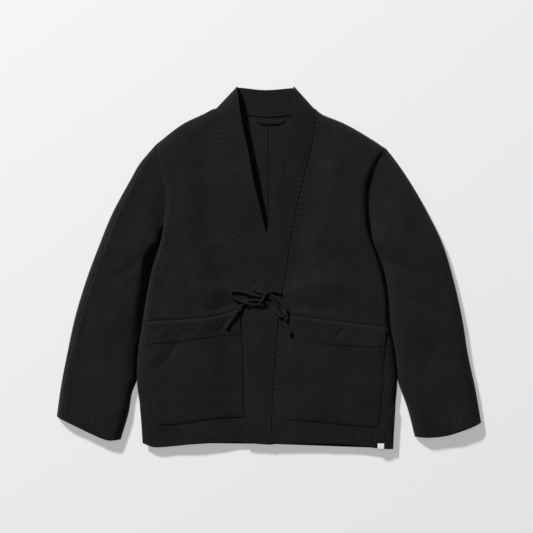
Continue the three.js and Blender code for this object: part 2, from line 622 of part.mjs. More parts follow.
// The part of the neckband round the back of the neck, flat under the two folds.
function backBandSheet() {
  const right = seamX(RIGHT)(NECK_POINT_Y);
  const left = seamX(LEFT)(NECK_POINT_Y);
  const seamPoints = [
    ...steps(5).map((t) => mix(right, 0, t)),
    ...steps(5).slice(1).map((t) => mix(0, left, t)),
  ];
  const foldRight = openX(RIGHT)(COLLAR_TOP_Y);
  const foldLeft = openX(LEFT)(COLLAR_TOP_Y);
  const rows = steps(3).map((up) => seamPoints.map((x, k) => {
    const topX = mix(foldRight, foldLeft, k / (seamPoints.length - 1));
    const inset = x === right ? 2 : x === left ? -2 : 0;
    const seam = new THREE.Vector2(x, neckSeamY(x));
    const point = seam.lerp(new THREE.Vector2(topX, neckEdgeY(topX) - 1), up);
    return new THREE.Vector3(point.x + inset, point.y, 0);
  }));
  const cloth = sheet(rows, -1);
  sew(cloth, 'first');
  return cloth;
}

// A patch pocket, made from its front's own points moved out, with a thicker turned hem at the mouth.
function pocketSheet(side, pocket) {
  const outerX = through(pocket.sides, 'y', 'outer');
  const innerX = through(pocket.sides, 'y', 'inner');
  const mouth = through(pocket.mouth, 'x', 'y');
  const hemLine = through(pocket.hemLine, 'x', 'y');
  const bottom = through(pocket.bottom, 'x', 'y');
  const up = [0, 0.06, 0.2, 0.4, 0.6, 0.8, 0.99];
  const turned = [0.01, 0.5, 1];
  const levels = [
    ...up.map((share) => ({ of: (x) => mix(bottom(x), hemLine(x), share), raised: 0 })),
    ...turned.map((share) => ({ of: (x) => mix(hemLine(x), mouth(x), share), raised: POCKET_HEM_CLOTH })),
  ];
  const outward = [0, 0.02, 0.06, 0.14, 0.28, 0.42, 0.56, 0.7, 0.84, 1];
  const rows = levels.map((level) => outward.map((share) => {
    const middle = level.of(mix(outerX(pocket.middleY), innerX(pocket.middleY), share));
    const x = mix(outerX(middle), innerX(middle), share);
    const y = level.of(x);
    const along = 0.5;
    const base = new THREE.Vector3(x, y, frontTop(side, x, y));
    const slopeX = (frontTop(side, x + along, y) - frontTop(side, x - along, y)) / (2 * along);
    const slopeY = (frontTop(side, x, y + along) - frontTop(side, x, y - along)) / (2 * along);
    const out = new THREE.Vector3(-slopeX, -slopeY, 1).normalize();
    return { base, out, raised: level.raised };
  }));
  const movedOut = (height) => rows.map((row) => row.map((place) => (
    place.base.clone().addScaledVector(place.out, height(place))
  )));
  return {
    outer: movedOut(({ raised }) => POCKET_CLEAR + CLOTH + raised),
    inner: movedOut(() => POCKET_CLEAR),
  };
}

// The closed wall between two grids of points.
function wallBetween({ outer, inner }) {
  const normals = outer.map((row, i) => row.map((point, j) => point.clone().sub(inner[i][j])));
  return wall({ rows: outer, normals }, 1);
}

function routeCurve(route) {
  return new THREE.CatmullRomCurve3(route.map((place) => new THREE.Vector3(...place)), false, 'centripetal');
}

function tie(route) {
  const section = new THREE.Shape(steps(TIE_SIDES).slice(1).map((t) => (
    new THREE.Vector2(Math.cos(2 * Math.PI * t), Math.sin(2 * Math.PI * t)).multiplyScalar(TIE / 2)
  )));
  const extrudePath = routeCurve(route);
  return new THREE.ExtrudeGeometry(section, { extrudePath, steps: TIE_STEPS, bevelEnabled: false });
}

// The hanger loop: a flat strip that sags from the back neck seam.
function hangerLoopSheet() {
  const curve = routeCurve(LOOP_ROUTE);
  const rows = steps(20).map((t) => {
    const run = curve.getTangent(t);
    const across = new THREE.Vector3(-run.y, run.x, 0).setLength(LOOP_WIDTH / 2);
    return [curve.getPoint(t).sub(across), curve.getPoint(t).add(across)];
  });
  return sheet(rows, -1);
}

// The tab folded round the hem of the left front.
function hemTab() {
  const farX = TAB.x + TAB.width;
  const top = frontTop(LEFT, TAB.x, TAB.y) + TAB.clear;
  const bottom = frontTop(LEFT, farX, hemY(farX)) - CLOTH - TAB.clear;
  const fold = hemY(farX) - TAB.clear;
  const foldOut = fold - TAB.cloth;
  const topOut = top + TAB.cloth;
  const bottomOut = bottom - TAB.cloth;
  const outline = [
    [TAB.y, top], [TAB.y, topOut], [foldOut, topOut], [foldOut, bottomOut],
    [TAB.y, bottomOut], [TAB.y, bottom], [fold, bottom], [fold, top],
  ];
  const shape = new THREE.Shape(outline.map(([y, z]) => new THREE.Vector2(y, z)));
  const geometry = new THREE.ExtrudeGeometry(shape, { depth: TAB.width, bevelEnabled: false });
  const upright = new THREE.Matrix4().makeBasis(
    new THREE.Vector3(0, 1, 0),
    new THREE.Vector3(0, 0, 1),
    new THREE.Vector3(1, 0, 0),
  );
  return geometry.applyMatrix4(upright).translate(TAB.x, 0, 0);
}

const jacket = new THREE.Group();
jacket.add(
  piece('back_right', wall(backSheet(RIGHT), CLOTH), COTTON),
  piece('back_left', wall(backSheet(LEFT), CLOTH), COTTON),
  piece('front_right', wall(frontSheet(RIGHT), CLOTH), COTTON),
  piece('front_left', wall(frontSheet(LEFT), CLOTH), COTTON),
  ...sleeve(RIGHT, 'right'),
  ...sleeve(LEFT, 'left'),
  piece('neckband_back', wall(backBandSheet(), BAND_CLOTH), BAND_COTTON),
  piece('neckband_right', wall(bandSheet(RIGHT), BAND_CLOTH), BAND_COTTON),
  piece('neckband_left', wall(bandSheet(LEFT), BAND_CLOTH), BAND_COTTON),
  piece('pocket_right', wallBetween(pocketSheet(RIGHT, POCKET_RIGHT)), POCKET_COTTON),
  piece('pocket_left', wallBetween(pocketSheet(LEFT, POCKET_LEFT)), POCKET_COTTON),
  piece('tie_right', tie(TIE_RIGHT_ROUTE), CORD_COTTON),
  piece('tie_left', tie(TIE_LEFT_ROUTE), CORD_COTTON),
  piece('hanger_loop', wall(hangerLoopSheet(), CLOTH), BAND_COTTON),
  piece('hem_label', hemTab(), TAB_COTTON),
);
export default jacket;
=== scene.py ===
"""The looks of a black cotton noragi jacket that lies flat on its back, its ties in a bow.

Sizes and tables are in millimetres, as a pattern cutter writes them, and become metres in the meshes.
+Y points to the collar and +Z up. Left and right are the wearer's, so the left side lies at +X.
"""
import logging
import math
from collections.abc import Callable, Iterable, Sequence
from dataclasses import dataclass, field
from enum import Enum
from typing import ClassVar

import bpy
import numpy as np
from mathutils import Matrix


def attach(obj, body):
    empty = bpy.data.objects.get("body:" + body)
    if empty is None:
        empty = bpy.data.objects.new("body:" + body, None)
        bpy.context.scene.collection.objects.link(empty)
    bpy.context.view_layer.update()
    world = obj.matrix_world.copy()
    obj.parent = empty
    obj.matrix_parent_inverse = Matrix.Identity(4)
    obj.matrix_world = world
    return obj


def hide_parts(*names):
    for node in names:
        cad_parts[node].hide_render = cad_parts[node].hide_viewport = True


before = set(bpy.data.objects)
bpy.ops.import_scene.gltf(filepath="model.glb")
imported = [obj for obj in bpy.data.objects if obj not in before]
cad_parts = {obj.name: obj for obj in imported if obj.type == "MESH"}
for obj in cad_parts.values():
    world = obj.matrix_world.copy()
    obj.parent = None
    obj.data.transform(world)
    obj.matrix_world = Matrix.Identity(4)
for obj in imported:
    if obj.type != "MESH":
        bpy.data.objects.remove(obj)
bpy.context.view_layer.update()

log = logging.getLogger("noragi")
Array = np.ndarray
Socket = bpy.types.NodeSocket
Piece = bpy.types.Object
Material = bpy.types.Material

MM = 0.001
BODY = "root"

# Driving sizes of the jacket, in millimetres
CLOTH = 1.6
BAND_CLOTH = 3.0
SEAM_GAP = 0.3
LANDING = CLOTH + SEAM_GAP
ROLL = 22.0
CORNER = 3.0
UNDERARM_Y = 62.0
NECK_POINT_Y = 329.0
COLLAR_TOP_Y = 374.5
LOWEST_Y = -360.0
NECK_SHARE = 0.42
POCKET_CLEAR = 0.9
POCKET_HEM_CLOTH = 1.2
BAND_CREST = 1.2
HEM_DEPTH = 25.0
HEM_STITCH = 23.0
HEM_STEP = 0.5
HEM_STEP_RUN = 2.5
BAND_STITCH = 5.0
TIE = 5.0
# Seams are drawn narrower than in the solids, so that the bright floor doesn't shine through them.
SEAM_SHOWN = 0.03
# Drawn stitches, a little coarser than real so that they show
STITCH_PITCH = 3.3
STITCH_LENGTH = 2.5
STITCH_THICKNESS = 0.6
STITCH_SIDES = 6

# The fronts: how far each change of height takes to come in
SHOULDER_SLOPE = 0.85
BAND_RISE = 60.0
FOLD_RISE = 40.0
HEM_RISE = 45.0
HEM_DROP = 2.0
ARMHOLE_RISE = 34.0
VENT_Y = -294.0
VENT_RISE = 16.0
# Beside the sleeves the fronts' sides are rolled tightly
STEEP_ROLL = 9.0
STEEP_Y = 20.0
STEEP_REACH = 170.0

# The sleeves: shares of their length over which the cap, the tuck and the cuff come in
CAP_CURVE = 0.4
CAP_RISE = 0.16
CUFF_CURVE = 0.3
FULL_TUCK = 8.0
SLEEVE_CLEAR = 0.02
CLEAR_BY = 0.05


def mix(a: Array, b: Array, t: Array) -> Array:
    """Blend a into b by t."""
    return a + (b - a) * t


def clamp(t: Array) -> Array:
    """Keep t between 0 and 1."""
    return np.clip(t, 0.0, 1.0)


def ease(t: Array) -> Array:
    """A soft step from 0 to 1."""
    return clamp(t) ** 2 * (3 - 2 * clamp(t))


def quarter_round(t: Array) -> Array:
    """The rise of a rolled edge, steep at first."""
    return np.sqrt(1 - (1 - clamp(t)) ** 2)


def bell(distance: Array, width: float) -> Array:
    """A soft hump of the given half width."""
    return np.exp(-((distance / width) ** 2))


@dataclass(frozen=True)
class Table:
    """A short table of sizes with named columns, and a smooth curve through each column."""

    columns: tuple[str, ...]
    rows: tuple[tuple[float, ...], ...]

    def column(self, name: str) -> Array:
        """The values of one column."""
        return np.array([row[self.columns.index(name)] for row in self.rows], float)

    def curve(self, along: str, value: str, at: Array) -> Array:
        """Read a smooth curve through one column.

        Args:
            along: The column that the places are measured in.
            value: The column that is read.
            at: The places.

        Returns:
            The value at each place; past the table's ends, its end values.
        """
        x, y = self.column(along), self.column(value)
        ahead, behind = np.append(x[1:], x[-1]), np.insert(x[:-1], 0, x[0])
        rise = np.append(y[1:], y[-1]) - np.insert(y[:-1], 0, y[0])
        slope = rise / (ahead - behind)
        k = np.clip(np.searchsorted(x, at, side="left") - 1, 0, len(x) - 2)
        span = x[k + 1] - x[k]
        t = clamp((at - x[k]) / span)
        lift = t * (1 - t) * span
        bend = (1 - t) * slope[k] * lift - t * slope[k + 1] * lift
        return mix(y[k], y[k + 1], ease(t)) + bend


# Across the body at each height: side or armhole, band seam and band opening of each front
BODY_TABLE = Table(
    ("y", "side_right", "seam_right", "open_right", "open_left", "seam_left", "side_left"),
    (
        (-367, -260, -23, 31, -53, 4, 256),
        (-297, -265, -24, 30, -50, 6, 260),
        (-231, -273, -25, 29, -47, 9, 265),
        (-169, -270, -28, 26, -42, 13, 259),
        (-118, -262, -34, 21, -40, 18, 249),
        (-66, -254, -40, 16, -35, 24, 245),
        (-5, -242, -54, 6, -21, 35, 233),
        (62, -222, -67, -3, -7, 45, 210),
        (100, -216, -72, -12, 2, 52, 203),
        (137, -212, -77, -21, 10, 59, 201),
        (168, -213, -82, -29, 17, 67, 203),
        (200, -223, -88, -35, 25, 74, 213),
        (228, -228, -93, -40, 31, 82, 227),
        (255, -233, -99, -46, 36, 88, 247),
        (294, -233, -108, -54, 42, 94, 247),
        (329, -233, -109, -60, 47, 93, 247),
        (375, -233, -109, -66, 52, 93, 247),
    ),
)
# Lower edge of the fronts, across the jacket
HEM_TABLE = Table(
    ("x", "y"),
    (
        (-260, -361), (-235, -369), (-146, -362), (-54, -359), (-9, -364),
        (23, -362), (157, -363), (229, -372), (256, -373),
    ),
)
# Shoulder line of both sides, from armhole to neck
SHOULDER_TABLE = Table(
    ("x", "y"),
    (
        (-233, 255), (-179, 296), (-136, 317), (-109, 329), (93, 329),
        (107, 318), (157, 297), (214, 264), (241, 246),
    ),
)
# Seam of the band round the back neck, and the band's upper edge
BACK_NECK_TABLE = Table(
    ("x", "seam", "edge"),
    ((-109, 329, 374.5), (-62, 318, 373), (-8, 311, 368), (48, 316, 372), (93, 329, 374.5)),
)
# Height of the cloth's top over the ground: fronts, and the valleys along both armholes
LOFT_TABLE = Table(
    ("y", "front", "valley_right", "valley_left"),
    (
        (-367, 19, 13, 13),
        (-297, 21, 13, 13),
        (-169, 23, 13, 9),
        (62, 25, 13, 6),
        (137, 24, 14, 7),
        (200, 22, 15, 12),
        (255, 20, 15, 15),
        (329, 17, 15, 15),
    ),
)
# How far each band's opening edge stands up, from the crossing of the bands to the collar's top
STAND_TABLE = Table(
    ("y", "stand_right", "stand_left"),
    ((88, 0, 0), (125, 7, 2), (161, 11, 4), (230, 12, 5), (300, 12, 5), (375, 9, 4)),
)
# How far each cuff's edge bows below a straight line between its corners
CUFF_TABLE = Table(
    ("across", "bow_right", "bow_left"),
    ((0, 0, 0), (0.2, 10, 7), (0.45, 9, 11), (0.75, 4, 7), (1, 0, 0)),
)
# Down each sleeve: inner and outer edge, the seam's distance from the outer edge, the loft,
# how wide the inner edge is tucked low beside the body, and how much wider than usual it is rounded
SLEEVE_COLUMNS = ("down", "inner_x", "inner_y", "outer_x", "outer_y", "seam_in", "loft", "tuck", "slack")
SLEEVE_RIGHT_TABLE = Table(
    SLEEVE_COLUMNS,
    (
        (0, -222, 62, -233, 255, 4, 22, 0, 0),
        (0.06, -223, 53, -266, 216, 7, 23, 0, 0),
        (0.12, -225, 44, -284, 185, 9, 24, 0, 0),
        (0.25, -235, 12, -322, 115, 12, 26, 9, 8),
        (0.38, -247, -38, -349, 50, 13, 28, 4, 20),
        (0.51, -257, -100, -377, -25, 14, 28, 3, 28),
        (0.64, -268, -165, -401, -105, 12, 27, 1, 28),
        (0.77, -272, -228, -418, -185, 7, 26, 0, 16),
        (0.83, -283, -260, -425, -220, 5, 26, 0, 6),
        (0.89, -290, -300, -431, -255, 4, 25, 0, 0),
        (1, -306, -354, -438, -306, 3, 22, 0, 0),
    ),
)
SLEEVE_LEFT_TABLE = Table(
    SLEEVE_COLUMNS,
    (
        (0, 210, 62, 241, 246, 3, 22, 0, 0),
        (0.06, 211, 50, 266, 214, 4, 23, 2, 0),
        (0.12, 215, 38, 294, 172, 5, 24, 6, 0),
        (0.25, 227, 5, 332, 105, 10, 26, 8, 0),
        (0.38, 240, -50, 360, 45, 13, 28, 3, 0),
        (0.51, 245, -105, 381, -25, 13, 28, 1, 0),
        (0.64, 257, -170, 399, -105, 7, 27, 0, 0),
        (0.77, 265, -230, 411, -180, 4, 26, 0, 0),
        (0.89, 286, -290, 426, -250, 3, 25, 0, 0),
        (1, 301, -348, 438, -319, 3, 22, 0, 0),
    ),
)


@dataclass(frozen=True)
class Crease:
    """A listed fold: a soft ridge, or a trough where its height is below zero.

    It dies away towards its ends, unless its fade is zero.
    """

    start: tuple[float, float]
    end: tuple[float, float]
    width: float
    height: float
    bow: float = 0.0
    fade: float = 0.6

    def at(self, x: Array, y: Array) -> Array:
        """Height of the fold.

        Args:
            x: Places across.
            y: Places along.

        Returns:
            The height at each place.
        """
        start, end = np.array(self.start), np.array(self.end)
        run = end - start
        length = math.hypot(*run)
        out_x, out_y = x - start[0], y - start[1]
        t = clamp((out_x * run[0] + out_y * run[1]) / length**2)
        side = (out_y * run[0] - out_x * run[1]) / length - self.bow * 4 * t * (1 - t)
        past_x, past_y = out_x - t * run[0], out_y - t * run[1]
        distance = np.where((t > 0) & (t < 1), np.abs(side), np.hypot(past_x, past_y))
        return self.height * bell(distance, self.width) * np.sin(math.pi * t) ** self.fade


def folds_at(folds: Iterable[Crease], x: Array, y: Array) -> Array:
    """Sum of the heights of several folds.

    Args:
        folds: The folds.
        x: Places across.
        y: Places along.

    Returns:
        The height at each place.
    """
    return sum((fold.at(x, y) for fold in folds), np.zeros_like(x))


# How many waves make up a piece's unevenness
WAVE_COUNT = 12


def unevenness(x: Array, y: Array, size: float, seed: int) -> Array:
    """Soft, irregular waves, as washed cloth has where it lies.

    Args:
        x: Places across.
        y: Places along.
        size: Length of a typical wave.
        seed: Chooses the waves.

    Returns:
        Heights of about -1 to 1.
    """
    chance = np.random.default_rng(seed)
    total = np.zeros_like(x)
    for _ in range(WAVE_COUNT):
        turn = chance.uniform(0, 2 * math.pi)
        length = size * chance.uniform(0.7, 1.6)
        shift = chance.uniform(0, 2 * math.pi)
        run = (x * math.cos(turn) + y * math.sin(turn)) / length
        total += np.sin(2 * math.pi * run + shift)
    return total / math.sqrt(WAVE_COUNT)


@dataclass(frozen=True)
class Waves:
    """The unevenness of one cloth: large waves with small ones on them."""

    height: float
    size: float
    small_height: float = 0.0
    small_size: float = 36.0

    def at(self, x: Array, y: Array, seed: int) -> Array:
        """Height of the waves.

        Args:
            x: Places across.
            y: Places along.
            seed: Chooses the waves.

        Returns:
            The height at each place.
        """
        large = self.height * unevenness(x, y, self.size, seed)
        return large + self.small_height * unevenness(x, y, self.small_size, seed + 1)


# Two slow swings that make the ripples by a row uneven: their size in radians, and their reach along it
RIPPLE_SWINGS = ((0.9, 23.0), (0.7, 57.0))


@dataclass(frozen=True)
class SewnLine:
    """What a row of sewing does to cloth: it sinks a groove and draws up ripples beside it."""

    groove: float
    groove_width: float
    ripple: float = 0.0
    beside: float = 0.0
    reach: float = 4.0
    pitch: float = 11.0

    def at(self, along: Array, away: Array, seed: int = 0, loose: Array | float = 1.0) -> Array:
        """Height of the groove and its ripples.

        Args:
            along: Distances along the row.
            away: Distances from it.
            seed: Chooses the ripples' irregularity.
            loose: How free the cloth is to ripple, from 0 to 1.

        Returns:
            The height at each place.
        """
        chance = np.random.default_rng(seed)
        swings = zip(RIPPLE_SWINGS, chance.uniform(0, 2 * math.pi, 2))
        wander = sum(size * np.sin(along / reach + shift) for (size, reach), shift in swings)
        ripples = np.sin(2 * math.pi * along / self.pitch + wander) * bell(away - self.beside, self.reach)
        return self.ripple * loose * ripples - self.groove * bell(away, self.groove_width)


@dataclass(frozen=True)
class RoundedEdge:
    """An edge that drops in a quarter round."""

    drop: float
    reach: float

    def at(self, from_edge: Array) -> Array:
        """How far the cloth has dropped."""
        return self.drop * (1 - quarter_round(from_edge / self.reach))


# Each edge of a sheet's grid: its own places, and their neighbours inside
EDGES: dict[str, tuple[tuple, tuple]] = {
    "first": ((0, slice(None)), (1, slice(None))),
    "last": ((-1, slice(None)), (-2, slice(None))),
    "start": ((slice(None), 0), (slice(None), 1)),
    "end": ((slice(None), -1), (slice(None), -2)),
}


def unit(vectors: Array) -> Array:
    """Vectors of the same directions, one long."""
    length = np.linalg.norm(vectors, axis=-1, keepdims=True)
    return vectors / np.maximum(length, 1e-9)


def length_along(points: Array, axis: int) -> Array:
    """Distance travelled along one axis of a grid of points, from its start."""
    gaps = np.linalg.norm(np.diff(points, axis=axis), axis=-1)
    return np.insert(np.cumsum(gaps, axis=axis), 0, 0, axis=axis)


def read_along(distance: Array, travelled: Array, values: Array) -> Array:
    """Values at distances along a line, from those at its points."""
    return np.stack([np.interp(distance, travelled, values[:, k]) for k in range(3)], -1)


@dataclass
class Sheet:
    """A grid of points on the outer face of a piece of cloth.

    Rows run down the cloth and columns across it. The weave holds where each point lies in the cloth.
    """

    points: Array
    weave: Array
    facing: float = 1.0
    normals: Array = field(init=False)

    def __post_init__(self) -> None:
        """Work out the normals from the points."""
        down = np.empty_like(self.points)
        down[1:-1] = self.points[2:] - self.points[:-2]
        down[0], down[-1] = self.points[1] - self.points[0], self.points[-1] - self.points[-2]
        across = np.empty_like(self.points)
        across[:, 1:-1] = self.points[:, 2:] - self.points[:, :-2]
        across[:, 0] = self.points[:, 1] - self.points[:, 0]
        across[:, -1] = self.points[:, -1] - self.points[:, -2]
        self.normals = unit(np.cross(across, down)) * self.facing

    def sew(self, edge: str, chosen: Callable[[Array], Array] | None = None) -> None:
        """Stand an edge's rim upright over its seam line, a little back from it.

        Args:
            edge: The edge's name.
            chosen: Says which of the edge's points are sewn; all where it is left out.
        """
        at, inside = EDGES[edge]
        line = self.points[at].copy()
        run = np.empty_like(line)
        run[1:-1] = line[2:] - line[:-2]
        run[0], run[-1] = line[1] - line[0], line[-1] - line[-2]
        across = unit(np.stack([-run[:, 1], run[:, 0], np.zeros(len(run))], 1))
        outwards = np.sum(across * (self.points[inside] - line), 1) < 0
        across[outwards] *= -1
        normals = self.normals[at]
        upright = unit(normals - across * np.sum(normals * across, 1, keepdims=True))
        sewn = np.ones(len(line), bool) if chosen is None else chosen(line)
        self.normals[at] = np.where(sewn[:, None], upright, normals)
        self.points[at] = line + np.where(sewn[:, None], across * SEAM_SHOWN / 2, 0)

    def part_along(self, edge: str) -> None:
        """Take an edge a little back along the cloth from its seam."""
        at, inside = EDGES[edge]
        self.points[at] += unit(self.points[inside] - self.points[at]) * SEAM_SHOWN / 2

    def keep_above(self, level: float, thickness: float) -> None:
        """Tilt the normals so that the inner face stays above the piece below.

        Args:
            level: Height of what lies below.
            thickness: Thickness of this cloth.
        """
        steepest = clamp((self.points[..., 2] - level) / thickness)
        too_steep = self.normals[..., 2] > steepest
        flat = np.hypot(self.normals[..., 0], self.normals[..., 1])
        reach = np.sqrt(1 - steepest**2) / np.maximum(flat, 1e-6)
        tilted = np.stack([self.normals[..., 0] * reach, self.normals[..., 1] * reach, steepest], -1)
        self.normals = np.where(too_steep[..., None], tilted, self.normals)

    def line_at(self, edge: str, distance: float) -> tuple[Array, Array]:
        """A line across the cloth at a distance from an edge.

        Args:
            edge: The edge's name.
            distance: Distance from it along the cloth.

        Returns:
            The line's points and the cloth's normals there.
        """
        points, normals = self.points, self.normals
        if edge in ("first", "last"):
            points, normals = points.transpose(1, 0, 2), normals.transpose(1, 0, 2)
        if edge in ("last", "end"):
            points, normals = points[:, ::-1], normals[:, ::-1]
        run = length_along(points, 1)
        line = np.array([read_along(distance, at, row) for at, row in zip(run, points)])
        upright = np.array([read_along(distance, at, row) for at, row in zip(run, normals)])
        return line, unit(upright)

    def cut(self, from_column: int, to_column: int) -> "Sheet":
        """The part of the sheet between two columns.

        Args:
            from_column: First column kept.
            to_column: Column after the last one kept.

        Returns:
            A sheet with the same normals.
        """
        keep = slice(from_column, to_column)
        part = Sheet(self.points[:, keep].copy(), self.weave[:, keep].copy(), self.facing)
        part.normals = self.normals[:, keep].copy()
        return part


def rim_of(rows: int, columns: int) -> tuple[Array, Array]:
    """The places round the edge of a grid.

    Args:
        rows: Rows of the grid.
        columns: Columns of the grid.

    Returns:
        The row and the column of each place, in order round the grid.
    """
    row = [0] * (columns - 1) + list(range(rows - 1)) + [rows - 1] * (columns - 1)
    row += list(range(rows - 1, 0, -1))
    column = list(range(columns - 1)) + [columns - 1] * (rows - 1)
    column += list(range(columns - 1, 0, -1)) + [0] * (rows - 1)
    return np.array(row), np.array(column)


def add_piece(name: str, mesh: bpy.types.Mesh) -> Piece:
    """Put a mesh into the scene.

    Args:
        name: The piece's name.
        mesh: Its mesh.

    Returns:
        The object, smooth and riding on the jacket's body.
    """
    mesh.polygons.foreach_set("use_smooth", np.ones(len(mesh.polygons), bool))
    mesh.update()
    piece = bpy.data.objects.new(name, mesh)
    bpy.context.scene.collection.objects.link(piece)
    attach(piece, BODY)
    log.info("%s: %d faces", name, len(mesh.polygons))
    return piece


def make_object(name: str, points: Array, faces: Array, weave: Array | None = None) -> Piece:
    """Make a mesh object.

    Args:
        name: The piece's name.
        points: Its vertices.
        faces: Its quads, as rows of vertex numbers.
        weave: Where each vertex lies in the cloth, if it has a weave.

    Returns:
        The object.
    """
    mesh = bpy.data.meshes.new(name)
    mesh.from_pydata((points * MM).tolist(), [], faces.tolist())
    if weave is not None:
        layer = mesh.uv_layers.new(name="weave")
        corner = np.empty(len(mesh.loops), np.int32)
        mesh.loops.foreach_get("vertex_index", corner)
        layer.data.foreach_set("uv", (weave[corner] * MM).astype(np.float32).ravel())
    return add_piece(name, mesh)


def outward_turned(points: Array, faces: Array) -> Array:
    """Turn the faces of a closed mesh so that they look out of it.

    Args:
        points: The mesh's vertices.
        faces: Its quads, as rows of vertex numbers.

    Returns:
        The quads, turned or as they were.
    """
    a, b, c, d = (points[faces[:, k]] for k in range(4))
    volume = np.sum(a * np.cross(b, c)) + np.sum(a * np.cross(c, d))
    return faces if volume > 0 else faces[:, ::-1]


# How far a folded edge bulges, as a share of the cloth's thickness
FOLD_BULGE = 0.35


def make_cloth(name: str, sheet: Sheet, thickness: float, turned: Sequence[str] = ()) -> Piece:
    """Make a sheet into a piece of cloth with a thickness.

    Args:
        name: The piece's name.
        sheet: Its outer face.
        thickness: Its thickness.
        turned: The edges that are folded round, and so are rounded; the others are cut square at a seam.

    Returns:
        The piece.
    """
    rows, columns = sheet.points.shape[:2]
    count = rows * columns
    outer = sheet.points.reshape(count, 3)
    inner = outer - sheet.normals.reshape(count, 3) * thickness
    row, column = rim_of(rows, columns)
    rim = row * columns + column
    bulge = np.zeros((rows, columns, 3))
    for edge in turned:
        at, inside = EDGES[edge]
        bulge[at] += unit(sheet.points[at] - sheet.points[inside]) * thickness * FOLD_BULGE
    middle = (outer[rim] + inner[rim]) / 2 + bulge[row, column]
    points = np.concatenate([outer, inner, middle])
    points[:, 2] = np.maximum(points[:, 2], 0)
    index = np.arange(count).reshape(rows, columns)
    corners = [index[:-1, :-1], index[:-1, 1:], index[1:, 1:], index[1:, :-1]]
    face = np.stack([corner.ravel() for corner in corners], 1)
    following = np.roll(rim, -1)
    ring = 2 * count + np.arange(len(rim))
    next_ring = np.roll(ring, -1)
    faces = np.concatenate(
        [
            face,
            face[:, ::-1] + count,
            np.stack([rim, ring, next_ring, following], 1),
            np.stack([ring, rim + count, following + count, next_ring], 1),
        ]
    )
    weave = sheet.weave.reshape(count, 2)
    weave = np.concatenate([weave, weave, weave[rim]])
    return make_object(name, points, outward_turned(points, faces), weave)


# Offsets of the extra places by a row of stitches, and the least distances they keep, in millimetres
CLOSE_BY = (-2.2, -1.1, 0.0, 1.1, 2.2)
FROM_END = 0.3
FROM_EACH_OTHER = 0.9
# Distances from an edge of the extra places that round it
EDGE_PLACES = (0.5, 1.2, 2.0)


def spaced(length: float, step: float, fine: Iterable[float] = ()) -> Array:
    """Distances along a piece, with extra ones where it needs finer form.

    Args:
        length: Length of the piece.
        step: Usual distance between places.
        fine: Places, such as rows of stitches, that get closer neighbours.

    Returns:
        The sorted distances from 0 to the length.
    """
    base = np.linspace(0, length, max(2, round(length / step) + 1))
    closer = np.array([place + offset for place in fine for offset in CLOSE_BY])
    closer = np.unique(np.round(closer[(closer > FROM_END) & (closer < length - FROM_END)], 3))
    if not len(closer):
        return base
    gap = np.min(np.abs(base[:, None] - closer[None]), axis=1)
    gap[[0, -1]] = length
    return np.sort(np.concatenate([base[gap > FROM_EACH_OTHER], closer]))


def with_edges(
    places: Array, by_start: Sequence[float] = EDGE_PLACES, by_end: Sequence[float] = EDGE_PLACES
) -> Array:
    """Add places close to both ends of a piece, which round its edges.

    Args:
        places: Distances along the piece, from 0 to its length.
        by_start: Distances of the extra places from its start.
        by_end: Distances of the extra places from its end.

    Returns:
        All the places, as shares of the length.
    """
    length = places[-1]
    extra = [*by_start, *(length - distance for distance in by_end)]
    return np.sort(np.concatenate([places, extra])) / length


def roll_steps(count: int) -> Array:
    """Distances from a rolled edge, the edge first, at even angles round the roll."""
    return ROLL * (1 - np.cos(np.linspace(0, math.pi / 2, count + 1)))


@dataclass(frozen=True)
class Rows:
    """Rows up a piece, as shares of the way to the underarm and then of the way on from there."""

    share: Array
    is_below: Array

    def between(self, low: Array, top: Array) -> Array:
        """The rows' heights on the jacket, from a low point by way of the underarm to a top."""
        return np.where(self.is_below, mix(low, UNDERARM_Y, self.share), mix(UNDERARM_Y, top, self.share))


def rows_up(below: Array, above: Array) -> Rows:
    """Join the rows below the underarm to those above it.

    Args:
        below: Distances of the lower rows from the bottom, the last at the underarm.
        above: Distances of the upper rows from the underarm, the first at it.

    Returns:
        The rows, with one at the underarm.
    """
    share = np.concatenate([below / below[-1], above[1:] / above[-1]])
    return Rows(share, np.arange(len(share)) < len(below))


